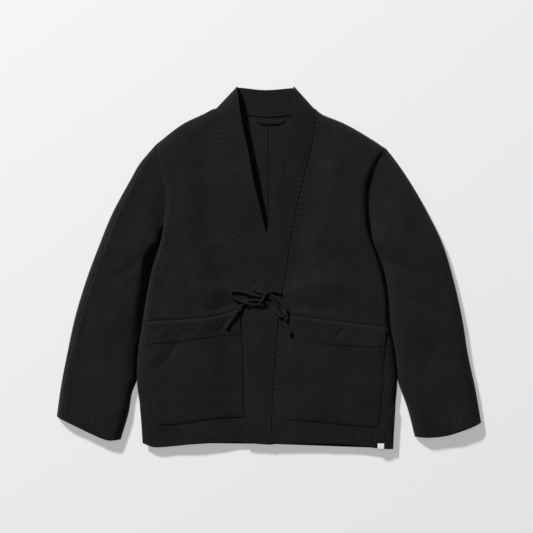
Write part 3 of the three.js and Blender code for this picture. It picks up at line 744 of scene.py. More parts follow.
@dataclass
class StitchRows:
    """Rows of stitches on the jacket, joined into one mesh."""

    name: str
    rows: list[tuple[Array, Array]] = field(default_factory=list)

    # Rings of a stitch: share of its length from its middle, and radius and depth as shares of its thickness
    PROFILE: ClassVar = ((-0.5, 0.25, 0.3), (-0.3, 0.5, 0.0), (0.3, 0.5, 0.0), (0.5, 0.25, 0.3))
    FLATNESS: ClassVar = 0.8

    def add(self, line: Array, normals: Array, trim: tuple[float, float] = (0.0, 0.0)) -> None:
        """Sew a row of stitches.

        Args:
            line: Points along the row, on the cloth's outer face.
            normals: The cloth's normals there.
            trim: How far from the line's start and end the row keeps.
        """
        travelled = length_along(line, 0)
        half = STITCH_LENGTH / 2
        middles = np.arange(trim[0] + half, travelled[-1] - trim[1] - half, STITCH_PITCH)
        centre = read_along(middles, travelled, line)
        along = read_along(middles + half, travelled, line) - read_along(middles - half, travelled, line)
        up = unit(read_along(middles, travelled, normals))
        self.rows.append((np.stack([centre, unit(along)], 1), up))

    def make(self, material: Material) -> Piece:
        """Join the rows into one piece.

        Args:
            material: The thread's finish.

        Returns:
            The piece.
        """
        placed = np.concatenate([row for row, _ in self.rows])
        up = np.concatenate([normals for _, normals in self.rows])
        centre, along = placed[:, 0], placed[:, 1]
        across = unit(np.cross(up, along))
        up = np.cross(along, across)
        sides = STITCH_SIDES
        rings = []
        for run, radius, sink in self.PROFILE:
            middle = centre + along * run * STITCH_LENGTH - up * sink * STITCH_THICKNESS
            for angle in 2 * math.pi * np.arange(sides) / sides:
                out = across * math.cos(angle) + up * math.sin(angle) * self.FLATNESS
                rings.append(middle + out * radius * STITCH_THICKNESS)
        points = np.stack(rings, 1)
        count = points.shape[1]
        quads = []
        for ring in range(len(self.PROFILE) - 1):
            for side in range(sides):
                after = (side + 1) % sides
                low, high = ring * sides, (ring + 1) * sides
                quads.append([low + side, low + after, high + after, high + side])
        last = (len(self.PROFILE) - 1) * sides
        for low in (0, last):
            caps = [[low, low + 1, low + 2, low + 3], [low, low + 3, low + 4, low + 5]]
            quads += caps if low else [cap[::-1] for cap in caps]
        stitch = outward_turned(points[0], np.array(quads))
        faces = (stitch[None] + count * np.arange(len(points))[:, None, None]).reshape(-1, 4)
        piece = make_object(self.name, points.reshape(-1, 3), faces)
        return dress(piece, material)


def dress(piece: Piece, material: Material) -> Piece:
    """Give a piece its finish.

    Args:
        piece: The piece.
        material: Its material.

    Returns:
        The piece.
    """
    piece.data.materials.clear()
    piece.data.materials.append(material)
    return piece


@dataclass(frozen=True)
class Side:
    """The sizes in which the jacket's two sides differ, and the names of its columns in the tables."""

    name: str
    sign: int
    shoulder_tip_y: float
    band_top: float
    flat_by_band: float
    sleeve: Table

    def edge_x(self, y: Array) -> Array:
        """Side seam or armhole of the body."""
        return BODY_TABLE.curve("y", f"side_{self.name}", y)

    def seam_x(self, y: Array) -> Array:
        """Seam between front and band."""
        return BODY_TABLE.curve("y", f"seam_{self.name}", y)

    def open_x(self, y: Array) -> Array:
        """Opening edge of the band."""
        return BODY_TABLE.curve("y", f"open_{self.name}", y)

    def from_side(self, x: Array, y: Array) -> Array:
        """Distances of places from the side seam or armhole."""
        return self.sign * (self.edge_x(y) - x)

    def from_band(self, x: Array, y: Array) -> Array:
        """Distances of places from the band's seam."""
        return self.sign * (x - self.seam_x(y))

    def armhole(self, share: Array) -> Array:
        """Points of the armhole, from the underarm to the shoulder tip.

        Args:
            share: Shares of the way up.

        Returns:
            The points on the ground.
        """
        y = mix(UNDERARM_Y, self.shoulder_tip_y, share)
        return np.stack([self.edge_x(y), y], -1)


RIGHT = Side("right", -1, 255.0, 14.0, 42.0, SLEEVE_RIGHT_TABLE)
LEFT = Side("left", 1, 246.0, 18.0, 8.0, SLEEVE_LEFT_TABLE)


def hem_y(x: Array) -> Array:
    """Lower edge of the fronts."""
    return HEM_TABLE.curve("x", "y", x)


def shoulder_y(x: Array) -> Array:
    """Shoulder line."""
    return SHOULDER_TABLE.curve("x", "y", x)


# Folds in each front, drawn up by the bow, as the solids have them
FRONT_FOLDS = {
    "right": (
        Crease((-48, -74), (-150, -84), 15, -2.2, fade=0.0),
        Crease((-50, -56), (-175, -30), 20, 1.8, fade=0.0),
        Crease((-190, -158), (-228, -208), 15, -1.8, fade=0.0),
    ),
    "left": (
        Crease((36, -72), (140, -92), 15, -2.2, fade=0.0),
        Crease((40, -50), (170, -36), 20, 1.8, fade=0.0),
        Crease((150, 190), (196, 120), 16, -2.0, fade=0.0),
    ),
}


def hem_end(edge: Callable[[Array], Array]) -> Array:
    """Where an edge of a front, given by its curve, meets the hem."""
    return hem_y(edge(np.array(LOWEST_Y)))


def front_top(side: Side, x: Array, y: Array) -> Array:
    """Height of a front's outer face over the ground.

    Args:
        side: The front's side.
        x: Places across.
        y: Places along.

    Returns:
        The height at each place.
    """
    from_side, from_band = side.from_side(x, y), side.from_band(x, y)
    from_shoulder = SHOULDER_SLOPE * (shoulder_y(x) - y)
    by_band = side.band_top - BAND_CREST
    rise = ease((from_band - side.flat_by_band) / BAND_RISE)
    hem = mix(HEM_DROP, 0, ease((y - hem_y(x)) / HEM_RISE))
    loft = LOFT_TABLE.curve("y", "front", y) - hem
    folds = folds_at(FRONT_FOLDS[side.name], x, y) * ease(from_band / FOLD_RISE)
    spread = mix(by_band, loft, rise) + folds
    valley = LOFT_TABLE.curve("y", f"valley_{side.name}", y)
    at_vent = mix(valley, LANDING, ease((y - VENT_Y) / VENT_RISE))
    at_armhole = mix(LANDING, valley, ease((y - UNDERARM_Y) / ARMHOLE_RISE))
    edge = np.where(y > UNDERARM_Y, at_armhole, at_vent)
    roll = mix(ROLL, STEEP_ROLL, bell(y - STEEP_Y, STEEP_REACH))
    body = mix(edge, spread, quarter_round(from_side / roll))
    return mix(LANDING, body, quarter_round(from_shoulder / ROLL))


# Materials


class Weave(Enum):
    """How a cloth or cord is made, which sets the relief of its surface."""

    RICE = "rice grain"
    PLAIN = "plain"
    BRAID = "braid"
    THREAD = "thread"


@dataclass(frozen=True)
class Cotton:
    """Matt cotton, woven, braided or spun: its fibres scatter light and shine only at a grazing angle."""

    name: str
    colour: str
    # Colour painted on the raised threads' tops: paler than the ground, a painted highlight where light
    # catches them.
    raised_and_highlight: str
    weave: Weave
    across: float = 1.4
    along: float = 1.4
    relief: float = 0.2
    roughness: float = 0.92
    sheen: float = 0.04
    sheen_roughness: float = 0.5
    specular: float = 0.12
    ior: float = 1.5
    clouding: float = 0.14


# Black sashiko cotton: staggered rice grains of floating threads stand up from a plain ground, and their
# tops are painted a little paler, a painted highlight. A grain is about 3.4 mm wide and 6.4 mm long in the
# photograph's cloth.
SASHIKO = Cotton("black_sashiko_cotton", "#0d0c0f", "#201f23", Weave.RICE, 3.4, 6.4, 0.35)
# The bands are the same cloth, folded double, and a shade darker.
BAND_SASHIKO = Cotton("black_sashiko_cotton_folded", "#0c0b0e", "#1f1e22", Weave.RICE, 3.4, 6.4, 0.3)
# Plain cotton of the pockets. Its threads lie 0.7 mm apart, drawn 1.4 mm apart so that they show.
PLAIN_COTTON = Cotton("black_plain_cotton", "#0e0d10", "#1b1a1e", Weave.PLAIN, 1.4, 1.4, 0.16)
# Braided cotton cord, with plaits of about 2 mm round it.
CORD_COTTON = Cotton("black_braided_cotton_cord", "#080809", "#1a191c", Weave.BRAID, 2.0, 2.4, 0.35, 0.8)
# Black cotton sewing thread, a little smoother than the cloth.
SEWING_THREAD = Cotton("black_cotton_thread", "#131216", "#1b1a1f", Weave.THREAD, 0.6, 0.6, 0.05, 0.85)
# Off-white woven cotton tape, its threads 0.5 mm apart, drawn 0.9 mm apart so that they show.
WHITE_TAPE = Cotton("offwhite_cotton_tape", "#dcdcdf", "#eeeef1", Weave.PLAIN, 0.9, 0.9, 0.08, 0.85)


# Sizes of what is uneven in the cotton: how far its threads wander and over what length, a washed cloud,
# a slub in the yarn, and how many grains a worn patch spans
WANDER = 1.6
WANDER_SIZE = 18.2
CLOUD_SIZE = 71.4
SLUB_SIZE = 1.11
WORN_PATCH = 11.1
# A grain is an oval that fills 88% of its cell's width and 84% of its length. Worn patches and single
# grains stand up less: each range is the noise's low and high, then the share left there.
GRAIN_STRETCH = (2.27, 2.38, 0.0)
GRAIN_FOOT = 1.1
GRAIN_TOP = 0.05
WORN_RANGE = (0.36, 0.6, 0.2, 1.0)
GRAIN_RANGE = (0.0, 1.0, 0.4, 1.0)
# The plain ground's threads across and along each grain, drawn coarser than real so that they show
GROUND_ACROSS = 3.0
GROUND_ALONG = 5.0
GROUND_HEIGHT = 0.2
# How much the painted highlight on the raised threads, and the slubs, lighten the cloth, and how high a slub
# stands
RAISED_HIGHLIGHT_TONE = 0.7
SLUB_TONE = 0.4
SLUB_HEIGHT = 0.25


def per_metre(size: float) -> float:
    """How many of a size in millimetres fill a metre."""
    return 1 / (size * MM)


def linear(colour: str) -> tuple[float, float, float, float]:
    """Turn an sRGB hex colour to linear.

    Args:
        colour: The colour, such as #1f1e21.

    Returns:
        Red, green, blue and an alpha of 1.
    """
    parts = [int(colour[k : k + 2], 16) / 255 for k in (1, 3, 5)]
    return (*(p / 12.92 if p <= 0.04045 else ((p + 0.055) / 1.055) ** 2.4 for p in parts), 1.0)


@dataclass
class ClothMaterial:
    """Builds the nodes of one cotton finish."""

    finish: Cotton
    tree: bpy.types.NodeTree = field(init=False)

    def node(self, kind: str, links: dict | Sequence, output: int | str = 0, **settings: object) -> Socket:
        """Add a node with its settings and links.

        Args:
            kind: The node's type, without its ShaderNode prefix.
            links: For each input, in order or by name, a number or colour, or the output that feeds it.
            output: Which of its outputs is wanted.
            settings: The node's own settings.

        Returns:
            The output.
        """
        node = self.tree.nodes.new("ShaderNode" + kind)
        for name, value in settings.items():
            setattr(node, name, value)
        named = links if isinstance(links, dict) else dict(enumerate(links))
        for name, value in named.items():
            if isinstance(value, Socket):
                self.tree.links.new(value, node.inputs[name])
            else:
                node.inputs[name].default_value = value
        return node.outputs[output]

    def weave_place(self) -> tuple[Socket, Socket, Socket]:
        """Where the shaded point lies in the cloth, its threads wandering a little as they do.

        Returns:
            The place across and along, counted in repeats of the weave, and the place as a vector.
        """
        finish = self.finish
        place = self.node("UVMap", (), uv_map="weave")
        wavy = {"Vector": place, "Scale": per_metre(WANDER_SIZE), "Detail": 1.0}
        wander = self.node("TexNoise", wavy, "Color")
        offset = self.node("VectorMath", (wander, (0.5, 0.5, 0.5)), operation="SUBTRACT")
        nudge = self.node("VectorMath", {0: offset, "Scale": WANDER * MM}, operation="SCALE")
        moved = self.node("VectorMath", (place, nudge), operation="ADD")
        repeats = (per_metre(finish.across), per_metre(finish.along), 1.0)
        counted = self.node("VectorMath", (moved, repeats), operation="MULTIPLY")
        across = self.node("SeparateXYZ", (counted,), "X")
        along = self.node("SeparateXYZ", (counted,), "Y")
        return across, along, place

    def grains(self, across: Socket, along: Socket) -> Socket:
        """Raised oval grains in staggered columns.

        Args:
            across: Place across, in columns.
            along: Place along, in grains.

        Returns:
            The height, from 0 between grains to 1 on them.
        """
        column = self.node("Math", (across,), operation="FLOOR")
        shifted = self.node("Math", (column, 0.5, along), operation="MULTIPLY_ADD")
        in_column = self.node("Math", (across,), operation="FRACT")
        in_grain = self.node("Math", (shifted,), operation="FRACT")
        inside = self.node("CombineXYZ", (in_column, in_grain, 0.0))
        from_middle = self.node("VectorMath", (inside, (0.5, 0.5, 0.0)), operation="SUBTRACT")
        stretched = self.node("VectorMath", (from_middle, GRAIN_STRETCH), operation="MULTIPLY")
        squared = self.node("VectorMath", (stretched, stretched), "Value", operation="DOT_PRODUCT")
        grain = self.node("Math", (shifted,), operation="FLOOR")
        which = self.node("CombineXYZ", (column, grain, 0.0))
        chance = self.node("TexWhiteNoise", (which,))
        patches = self.node("TexNoise", {"Vector": which, "Scale": 1 / WORN_PATCH, "Detail": 2.0})
        worn = self.node("MapRange", (patches, *WORN_RANGE))
        uneven = self.node("MapRange", (chance, *GRAIN_RANGE))
        fullness = self.node("Math", (worn, uneven), operation="MULTIPLY")
        limits = (squared, GRAIN_FOOT, GRAIN_TOP, 0.0, fullness)
        return self.node("MapRange", limits, interpolation_type="SMOOTHSTEP")

    def crossing(self, across: Socket, along: Socket) -> Socket:
        """Threads that pass over and under each other.

        Args:
            across: Place across, in threads.
            along: Place along, in threads.

        Returns:
            The height, from 0 to 1.
        """
        warp_turn = self.node("Math", (across, math.pi), operation="MULTIPLY")
        weft_turn = self.node("Math", (along, math.pi), operation="MULTIPLY")
        warp = self.node("Math", (warp_turn,), operation="SINE")
        weft = self.node("Math", (weft_turn,), operation="SINE")
        product = self.node("Math", (warp, weft), operation="MULTIPLY")
        return self.node("Math", (product,), operation="ABSOLUTE")

    def height(self) -> tuple[Socket, Socket]:
        """The weave's relief.

        Returns:
            Its height, from 0 to 1, and the place in the cloth as a vector.
        """
        across, along, place = self.weave_place()
        kind = self.finish.weave
        if kind is Weave.RICE:
            ground_across = self.node("Math", (across, GROUND_ACROSS), operation="MULTIPLY")
            ground_along = self.node("Math", (along, GROUND_ALONG), operation="MULTIPLY")
            ground = self.crossing(ground_across, ground_along)
            layers = (ground, GROUND_HEIGHT, self.grains(across, along))
            return self.node("Math", layers, operation="MULTIPLY_ADD"), place
        if kind is Weave.BRAID:
            one_way = self.node("Math", (across, along), operation="ADD")
            other_way = self.node("Math", (across, along), operation="SUBTRACT")
            return self.crossing(one_way, other_way), place
        return self.crossing(across, along), place

    def build(self) -> Material:
        """Make the material.

        Returns:
            The material.
        """
        finish = self.finish
        material = bpy.data.materials.new(finish.name)
        material.use_nodes = True
        self.tree = material.node_tree
        shader = next(node for node in self.tree.nodes if node.type == "BSDF_PRINCIPLED")
        raised_and_highlight, place = self.height()
        clouds = self.node("TexNoise", {"Vector": place, "Scale": per_metre(CLOUD_SIZE), "Detail": 4.0})
        slubs = self.node("TexNoise", {"Vector": place, "Scale": per_metre(SLUB_SIZE), "Detail": 2.0})
        # Paint the raised threads' tops paler, as a painted highlight, and the slubs paler by their own tone.
        painted_highlight = self.node("Math", (raised_and_highlight, RAISED_HIGHLIGHT_TONE), operation="MULTIPLY")
        slub_tone_and_highlight = self.node("Math", (slubs, SLUB_TONE, painted_highlight), operation="MULTIPLY_ADD")
        ground_to_highlight = {0: slub_tone_and_highlight, 6: linear(finish.colour), 7: linear(finish.raised_and_highlight)}
        weave_colour_and_highlight = self.node("Mix", ground_to_highlight, 2, data_type="RGBA")
        faded = {"Value": clouds, "To Min": 1 - finish.clouding * 2, "To Max": 1 + finish.clouding * 2}
        shade = self.node("MapRange", faded)
        clouded = self.node("VectorMath", {0: weave_colour_and_highlight, "Scale": shade}, operation="SCALE")
        self.tree.links.new(clouded, shader.inputs["Base Color"])
        relief = self.node("Math", (slubs, SLUB_HEIGHT, raised_and_highlight), operation="MULTIPLY_ADD")
        bump = self.node("Bump", {"Height": relief, "Distance": finish.relief * MM, "Strength": 1.0})
        self.tree.links.new(bump, shader.inputs["Normal"])
        shader.inputs["Roughness"].default_value = finish.roughness
        shader.inputs["IOR"].default_value = finish.ior
        shader.inputs["Specular IOR Level"].default_value = finish.specular
        shader.inputs["Sheen Weight"].default_value = finish.sheen
        shader.inputs["Sheen Roughness"].default_value = finish.sheen_roughness
        return material


# The studio


@dataclass
class Studio:
    """Camera, lights and floor for a jacket seen straight from above."""

    centre: tuple[float, float] = (-5.15, 2.6)
    distance: float = 4000.0
    picture_width: float = 1098.0
    mean_height: float = 12.0
    sensor: float = 36.0
    floor_colour: str = "#b4b4b4"
    floor_glow: float = 0.35
    floor_roughness: float = 0.95
    floor_specular: float = 0.1
    floor_half: float = 4000.0
    floor_drop: float = 0.4
    key_elevation: float = 34.0
    key_plan: tuple[float, float] = (-0.58, 0.81)
    key_distance: float = 10000.0
    key_size: float = 1200.0
    key_power: float = 1540.0
    fill_height: float = 5000.0
    fill_size: float = 4000.0
    fill_power: float = 20.0
    sky: float = 0.12

    def build(self) -> None:
        """Make the camera, the floor, the key and fill lamps and the pale surroundings."""
        self._camera()
        self._floor()
        height, plan = math.radians(self.key_elevation), math.atan2(self.key_plan[1], self.key_plan[0])
        flat = self.key_distance * math.cos(height)
        key_place = (flat * math.cos(plan), flat * math.sin(plan), self.key_distance * math.sin(height))
        self._lamp("key", key_place, self.key_size, self.key_power)
        self._lamp("fill", (0.0, 0.0, self.fill_height), self.fill_size, self.fill_power)
        self._surroundings()

    def _camera(self) -> None:
        """Aim the camera straight down."""
        data = bpy.data.cameras.new("camera")
        data.sensor_width = self.sensor
        data.lens = self.sensor * (self.distance - self.mean_height) / self.picture_width
        camera = bpy.data.objects.new("camera", data)
        camera.location = (self.centre[0] * MM, self.centre[1] * MM, self.distance * MM)
        bpy.context.scene.collection.objects.link(camera)
        bpy.context.scene.camera = camera

    def _floor(self) -> None:
        """Lay the pale floor just under the jacket."""
        half, low = self.floor_half * MM, -self.floor_drop * MM
        mesh = bpy.data.meshes.new("floor")
        corners = [(-half, -half, low), (half, -half, low), (half, half, low), (-half, half, low)]
        mesh.from_pydata(corners, [], [(0, 1, 2, 3)])
        floor = bpy.data.objects.new("floor", mesh)
        bpy.context.scene.collection.objects.link(floor)
        # A table of matt white acrylic, lit evenly from below, so that shadows on it stay pale.
        acrylic = bpy.data.materials.new("matt_white_acrylic")
        acrylic.use_nodes = True
        shader = next(node for node in acrylic.node_tree.nodes if node.type == "BSDF_PRINCIPLED")
        shader.inputs["Base Color"].default_value = linear(self.floor_colour)
        shader.inputs["Roughness"].default_value = self.floor_roughness
        shader.inputs["Specular IOR Level"].default_value = self.floor_specular
        shader.inputs["Emission Color"].default_value = (1.0, 1.0, 1.0, 1.0)
        shader.inputs["Emission Strength"].default_value = self.floor_glow
        mesh.materials.append(acrylic)

    def _lamp(self, name: str, place: tuple[float, float, float], size: float, power: float) -> None:
        """Hang a round, soft lamp that looks at the jacket's middle.

        Args:
            name: The lamp's name.
            place: Where it hangs.
            size: Its width.
            power: Its power, in watts.
        """
        data = bpy.data.lights.new(name, "AREA")
        data.shape = "DISK"
        data.size = size * MM
        data.energy = power
        lamp = bpy.data.objects.new(name, data)
        lamp.location = [part * MM for part in place]
        tilt = math.atan2(math.hypot(place[0], place[1]), place[2])
        lamp.rotation_euler = (0.0, tilt, math.atan2(place[1], place[0]))
        bpy.context.scene.collection.objects.link(lamp)

    def _surroundings(self) -> None:
        """Fill the shadows with even white light from all round."""
        world = bpy.data.worlds.new("surroundings")
        world.use_nodes = True
        background = next(node for node in world.node_tree.nodes if node.type == "BACKGROUND")
        background.inputs[0].default_value = (1.0, 1.0, 1.0, 1.0)
        background.inputs[1].default_value = self.sky
        bpy.context.scene.world = world
        bpy.context.scene.view_settings.view_transform = "Standard"


# The ties


# Places on each stretch of a route, before they are spaced evenly
STRETCH_PLACES = 24


def route_curve(route: Sequence[Sequence[float]], step: float) -> Array:
    """A smooth curve through a route's points, as a cord lies.

    Args:
        route: The points.
        step: Distance between places on the curve, in the points' unit.

    Returns:
        The places, evenly spaced.
    """
    points = np.array(route, float)
    before, after = 2 * points[0] - points[1], 2 * points[-1] - points[-2]
    through = [before, *points, after]
    dense = []
    for p0, p1, p2, p3 in zip(through, through[1:], through[2:], through[3:]):
        knots = np.cumsum([0.0] + [np.linalg.norm(b - a) ** 0.5 for a, b in ((p0, p1), (p1, p2), (p2, p3))])
        t = np.linspace(knots[1], knots[2], STRETCH_PLACES, endpoint=False)[:, None]

        def between(a: Array, b: Array, i: int, j: int, at: Array = t, k: Array = knots) -> Array:
            """Blend two points over a span of the knots."""
            return a * (k[j] - at) / (k[j] - k[i]) + b * (at - k[i]) / (k[j] - k[i])

        a1, a2, a3 = between(p0, p1, 0, 1), between(p1, p2, 1, 2), between(p2, p3, 2, 3)
        b1, b2 = between(a1, a2, 0, 2), between(a2, a3, 1, 3)
        dense.append(between(b1, b2, 1, 2))
    curve = np.concatenate([*dense, points[-1:]])
    travelled = length_along(curve, 0)
    even = np.linspace(0, travelled[-1], round(travelled[-1] / step) + 1)
    return read_along(even, travelled, curve)


def tube(name: str, path: Array, radii: Array, sides: int) -> Piece:
    """A round tube along a path, with a weave wound round it.

    Args:
        name: The piece's name.
        path: Places along its middle.
        radii: Its radius at each place.
        sides: Points round it.

    Returns:
        The piece.
    """
    run = unit(np.gradient(path, axis=0))
    out = np.empty_like(run)
    out[0] = unit(np.cross(run[0], (0.0, 0.0, 1.0)))
    for k in range(1, len(run)):
        out[k] = unit(out[k - 1] - run[k] * np.dot(out[k - 1], run[k]))
    up = np.cross(run, out)
    turn = 2 * math.pi * np.arange(sides) / sides
    ring = out[:, None] * np.cos(turn)[None, :, None] + up[:, None] * np.sin(turn)[None, :, None]
    points = (path[:, None] + ring * radii[:, None, None]).reshape(-1, 3)
    index = np.arange(len(points)).reshape(len(path), sides)
    after = np.roll(index, -1, axis=1)
    walls = np.stack([index[:-1], after[:-1], after[1:], index[1:]], -1).reshape(-1, 4)
    first, last = np.full(sides, len(points)), np.full(sides, len(points) + 1)
    start_cap, end_cap = np.stack([first, after[0], index[0]], 1), np.stack([last, index[-1], after[-1]], 1)
    faces = walls.tolist() + start_cap.tolist() + end_cap.tolist()
    mesh = bpy.data.meshes.new(name)
    mesh.from_pydata((np.concatenate([points, path[[0, -1]]]) * MM).tolist(), [], faces)
    girth = 2 * math.pi * float(np.max(radii))
    around, along = np.meshgrid(np.linspace(0, girth, sides + 1), length_along(path, 0))
    place = np.stack([around, along], -1)
    on_walls = np.stack([place[:-1, :-1], place[:-1, 1:], place[1:, 1:], place[1:, :-1]], 2).reshape(-1, 2)
    on_caps = np.repeat(place[[0, -1], 0], 3 * sides, axis=0)
    layer = mesh.uv_layers.new(name="weave")
    layer.data.foreach_set("uv", (np.concatenate([on_walls, on_caps]) * MM).astype(np.float32).ravel())
    return add_piece(name, mesh)


@dataclass
class Tie:
    """A braided cord, sewn to a band at one end and whipped at the other."""

    side_name: str
    route: tuple[tuple[float, float, float], ...]
    diameter: float = TIE
    sides: int = 14
    step: float = 1.2
    plait: float = 2.4
    plait_depth: float = 0.025
    # The whipped tip: how far it reaches, which share of it lies over the cord, and its widths as shares of
    # the cord's
    tip_length: float = 10.0
    tip_over: float = 0.75
    tip_start: float = 0.9
    tip_swell: float = 1.55
    tip_close: float = 0.6
    tip_blunt: float = 0.02
    tip_rounding: float = 0.45
    tip_rings: int = 25
    tip_sides: int = 16
    windings: int = 7
    winding_depth: float = 0.06

    def build(self, cord_finish: Material, thread_finish: Material) -> None:
        """Make the cord and its whipped tip.

        Args:
            cord_finish: The cord's finish.
            thread_finish: The finish of the thread round its tip.
        """
        path = route_curve(self.route, self.step)
        name = f"tie_cord_{self.side_name}"
        travelled = length_along(path, 0)
        plaits = 1 + self.plait_depth * np.sin(2 * math.pi * travelled / self.plait)
        cord = tube(name, path, self.diameter / 2 * plaits, self.sides)
        dress(cord, cord_finish)
        tip = self._tip(path, thread_finish)
        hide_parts(f"tie_{self.side_name}")
        log.info("%s: %.0f mm long", name, travelled[-1])

    def _tip(self, path: Array, finish: Material) -> Piece:
        """Wind thread round the cord's end.

        Args:
            path: The cord's path.
            finish: The thread's finish.

        Returns:
            The tip.
        """
        direction = unit(path[-1] - path[-4])
        share = np.linspace(0, 1, self.tip_rings)
        middle = path[-1] + (share - self.tip_over)[:, None] * self.tip_length * direction
        swell = np.sin(math.pi * mix(self.tip_blunt, 1 - self.tip_blunt, share)) ** self.tip_rounding
        windings = 1 + self.winding_depth * np.sin(2 * math.pi * share * self.windings)
        radii = self.diameter / 2 * mix(self.tip_start, self.tip_swell, swell) * windings
        radii[[0, -1]] *= self.tip_close
        tip = tube(f"tie_tip_{self.side_name}", middle, radii, self.tip_sides)
        return dress(tip, finish)


# The garment's pieces


@dataclass
class FrontPanel:
    """One front of the body, from the band seam to the side seam and the armhole."""

    side: Side
    creases: tuple[Crease, ...]
    seed: int
    cut_size: tuple[float, float]
    cut_area: float
    mouth: Table
    mouth_dip: SewnLine = SewnLine(3.6, 2.6)
    mouth_dip_up: float = 1.8
    mouth_end: float = 4.0
    mouth_ease: float = 10.0
    step: float = 3.0
    roll_columns: int = 11
    waves: Waves = Waves(1.0, 95.0, 0.35, 36.0)
    hem_sewing: SewnLine = SewnLine(0.5, 1.6, 0.6, 0.0, 8.0, 13.0)
    band_seam: SewnLine = SewnLine(0.35, 2.6, 0.6, 5.0, 6.0, 12.0)
    armhole_seam: SewnLine = SewnLine(0.35, 3.0, 0.3, 7.0, 6.0, 12.0)
    shoulder_seam: SewnLine = SewnLine(0.3, 2.4)
    # How far the cloth is held flat by its side, its band, its shoulder, the hem's ends and the underarm
    held_by_side: float = 40.0
    held_by_band: float = 25.0
    held_by_shoulder: float = 35.0
    held_by_hem_end: float = 12.0
    held_by_underarm: float = 15.0
    sheet: Sheet = field(init=False)

    def relief(self, x: Array, y: Array) -> Array:
        """What the panel's folds, hem and seams add to its height.

        Args:
            x: Places across.
            y: Places along.

        Returns:
            The added height at each place.
        """
        from_side, from_band = self.side.from_side(x, y), self.side.from_band(x, y)
        from_shoulder = SHOULDER_SLOPE * (shoulder_y(x) - y)
        from_hem = y - hem_y(x)
        loose = ease(from_side / self.held_by_side) * ease(from_band / self.held_by_band)
        loose *= ease(from_shoulder / self.held_by_shoulder)
        total = loose * (self.waves.at(x, y, self.seed) + folds_at(self.creases, x, y))
        total += HEM_STEP * (1 - ease((from_hem - HEM_DEPTH) / HEM_STEP_RUN))
        in_hem = ease(from_side / self.held_by_hem_end) * ease(from_band / self.held_by_hem_end)
        total += in_hem * self.hem_sewing.at(x, from_hem - HEM_STITCH, self.seed + 2)
        total += self.band_seam.at(y, from_band, self.seed + 3)
        by_armhole = ease((y - UNDERARM_Y) / self.held_by_underarm)
        total += by_armhole * self.armhole_seam.at(y, from_side, self.seed + 4)
        total += self.shoulder_seam.at(x, from_shoulder)
        first, last = self.mouth.column("x")[[0, -1]]
        in_mouth = ease((x - first - self.mouth_end) / self.mouth_ease)
        in_mouth *= ease((last - self.mouth_end - x) / self.mouth_ease)
        above_mouth = y - self.mouth.curve("x", "y", x)
        return total + in_mouth * self.mouth_dip.at(x, above_mouth - self.mouth_dip_up)

    def surface(self, x: Array, y: Array) -> Array:
        """Height of the panel's outer face."""
        return front_top(self.side, x, y) + self.relief(x, y)

    def _shape(self) -> None:
        """Lay the panel out, row by row from hem to shoulder, each from the band seam to the side."""
        side = self.side
        side_start = hem_end(side.edge_x)
        below = spaced(float(UNDERARM_Y - side_start), self.step, (HEM_STITCH, HEM_DEPTH + 1))
        rows = rows_up(below, spaced(NECK_POINT_Y - UNDERARM_Y, self.step))
        from_y = rows.between(hem_end(side.seam_x), NECK_POINT_Y)
        to_y = rows.between(side_start, side.shoulder_tip_y)
        from_x, to_x = side.seam_x(from_y), side.edge_x(to_y)
        width = np.hypot(to_x - from_x, to_y - from_y)
        typical = float(width.max())
        inward = spaced(typical - ROLL, self.step, (1.0,)) / (typical - ROLL)
        rolled = roll_steps(self.roll_columns)[-2::-1]
        plateau = inward[None] * (1 - ROLL / width[:, None])
        across = np.concatenate([plateau, 1 - rolled[None] / width[:, None]], 1)
        x = mix(from_x[:, None], to_x[:, None], across)
        y = mix(from_y[:, None], to_y[:, None], across)
        hem_bow = hem_y(x) - mix(hem_y(from_x)[:, None], hem_y(to_x)[:, None], across)
        at_top = mix(side.seam_x(np.array(NECK_POINT_Y)), side.edge_x(np.array(side.shoulder_tip_y)), across)
        top_bow = shoulder_y(at_top) - mix(NECK_POINT_Y, side.shoulder_tip_y, across)
        share = rows.share[:, None]
        y = y + np.where(rows.is_below[:, None], (1 - share) ** 2 * hem_bow, share**2 * top_bow)
        points = np.stack([x, y, self.surface(x, y)], -1)
        self.sheet = Sheet(points, np.stack([x, y], -1), side.sign)
        self.sheet.sew("end", lambda line: line[:, 1] >= UNDERARM_Y - 1)
        self.sheet.sew("start")
        self.sheet.keep_above(LANDING, CLOTH)

    def build(self, cloth: Material, stitches: StitchRows) -> None:
        """Make the panel and sew its hem.

        Args:
            cloth: The cloth's finish.
            stitches: Takes the hem's stitches.
        """
        self._shape()
        name = f"front_cloth_{self.side.name}"
        panel = make_cloth(name, self.sheet, CLOTH, ("first",))
        dress(panel, cloth)
        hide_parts(f"front_{self.side.name}")
        stitches.add(*self.sheet.line_at("first", HEM_STITCH), (3.0, 12.0))


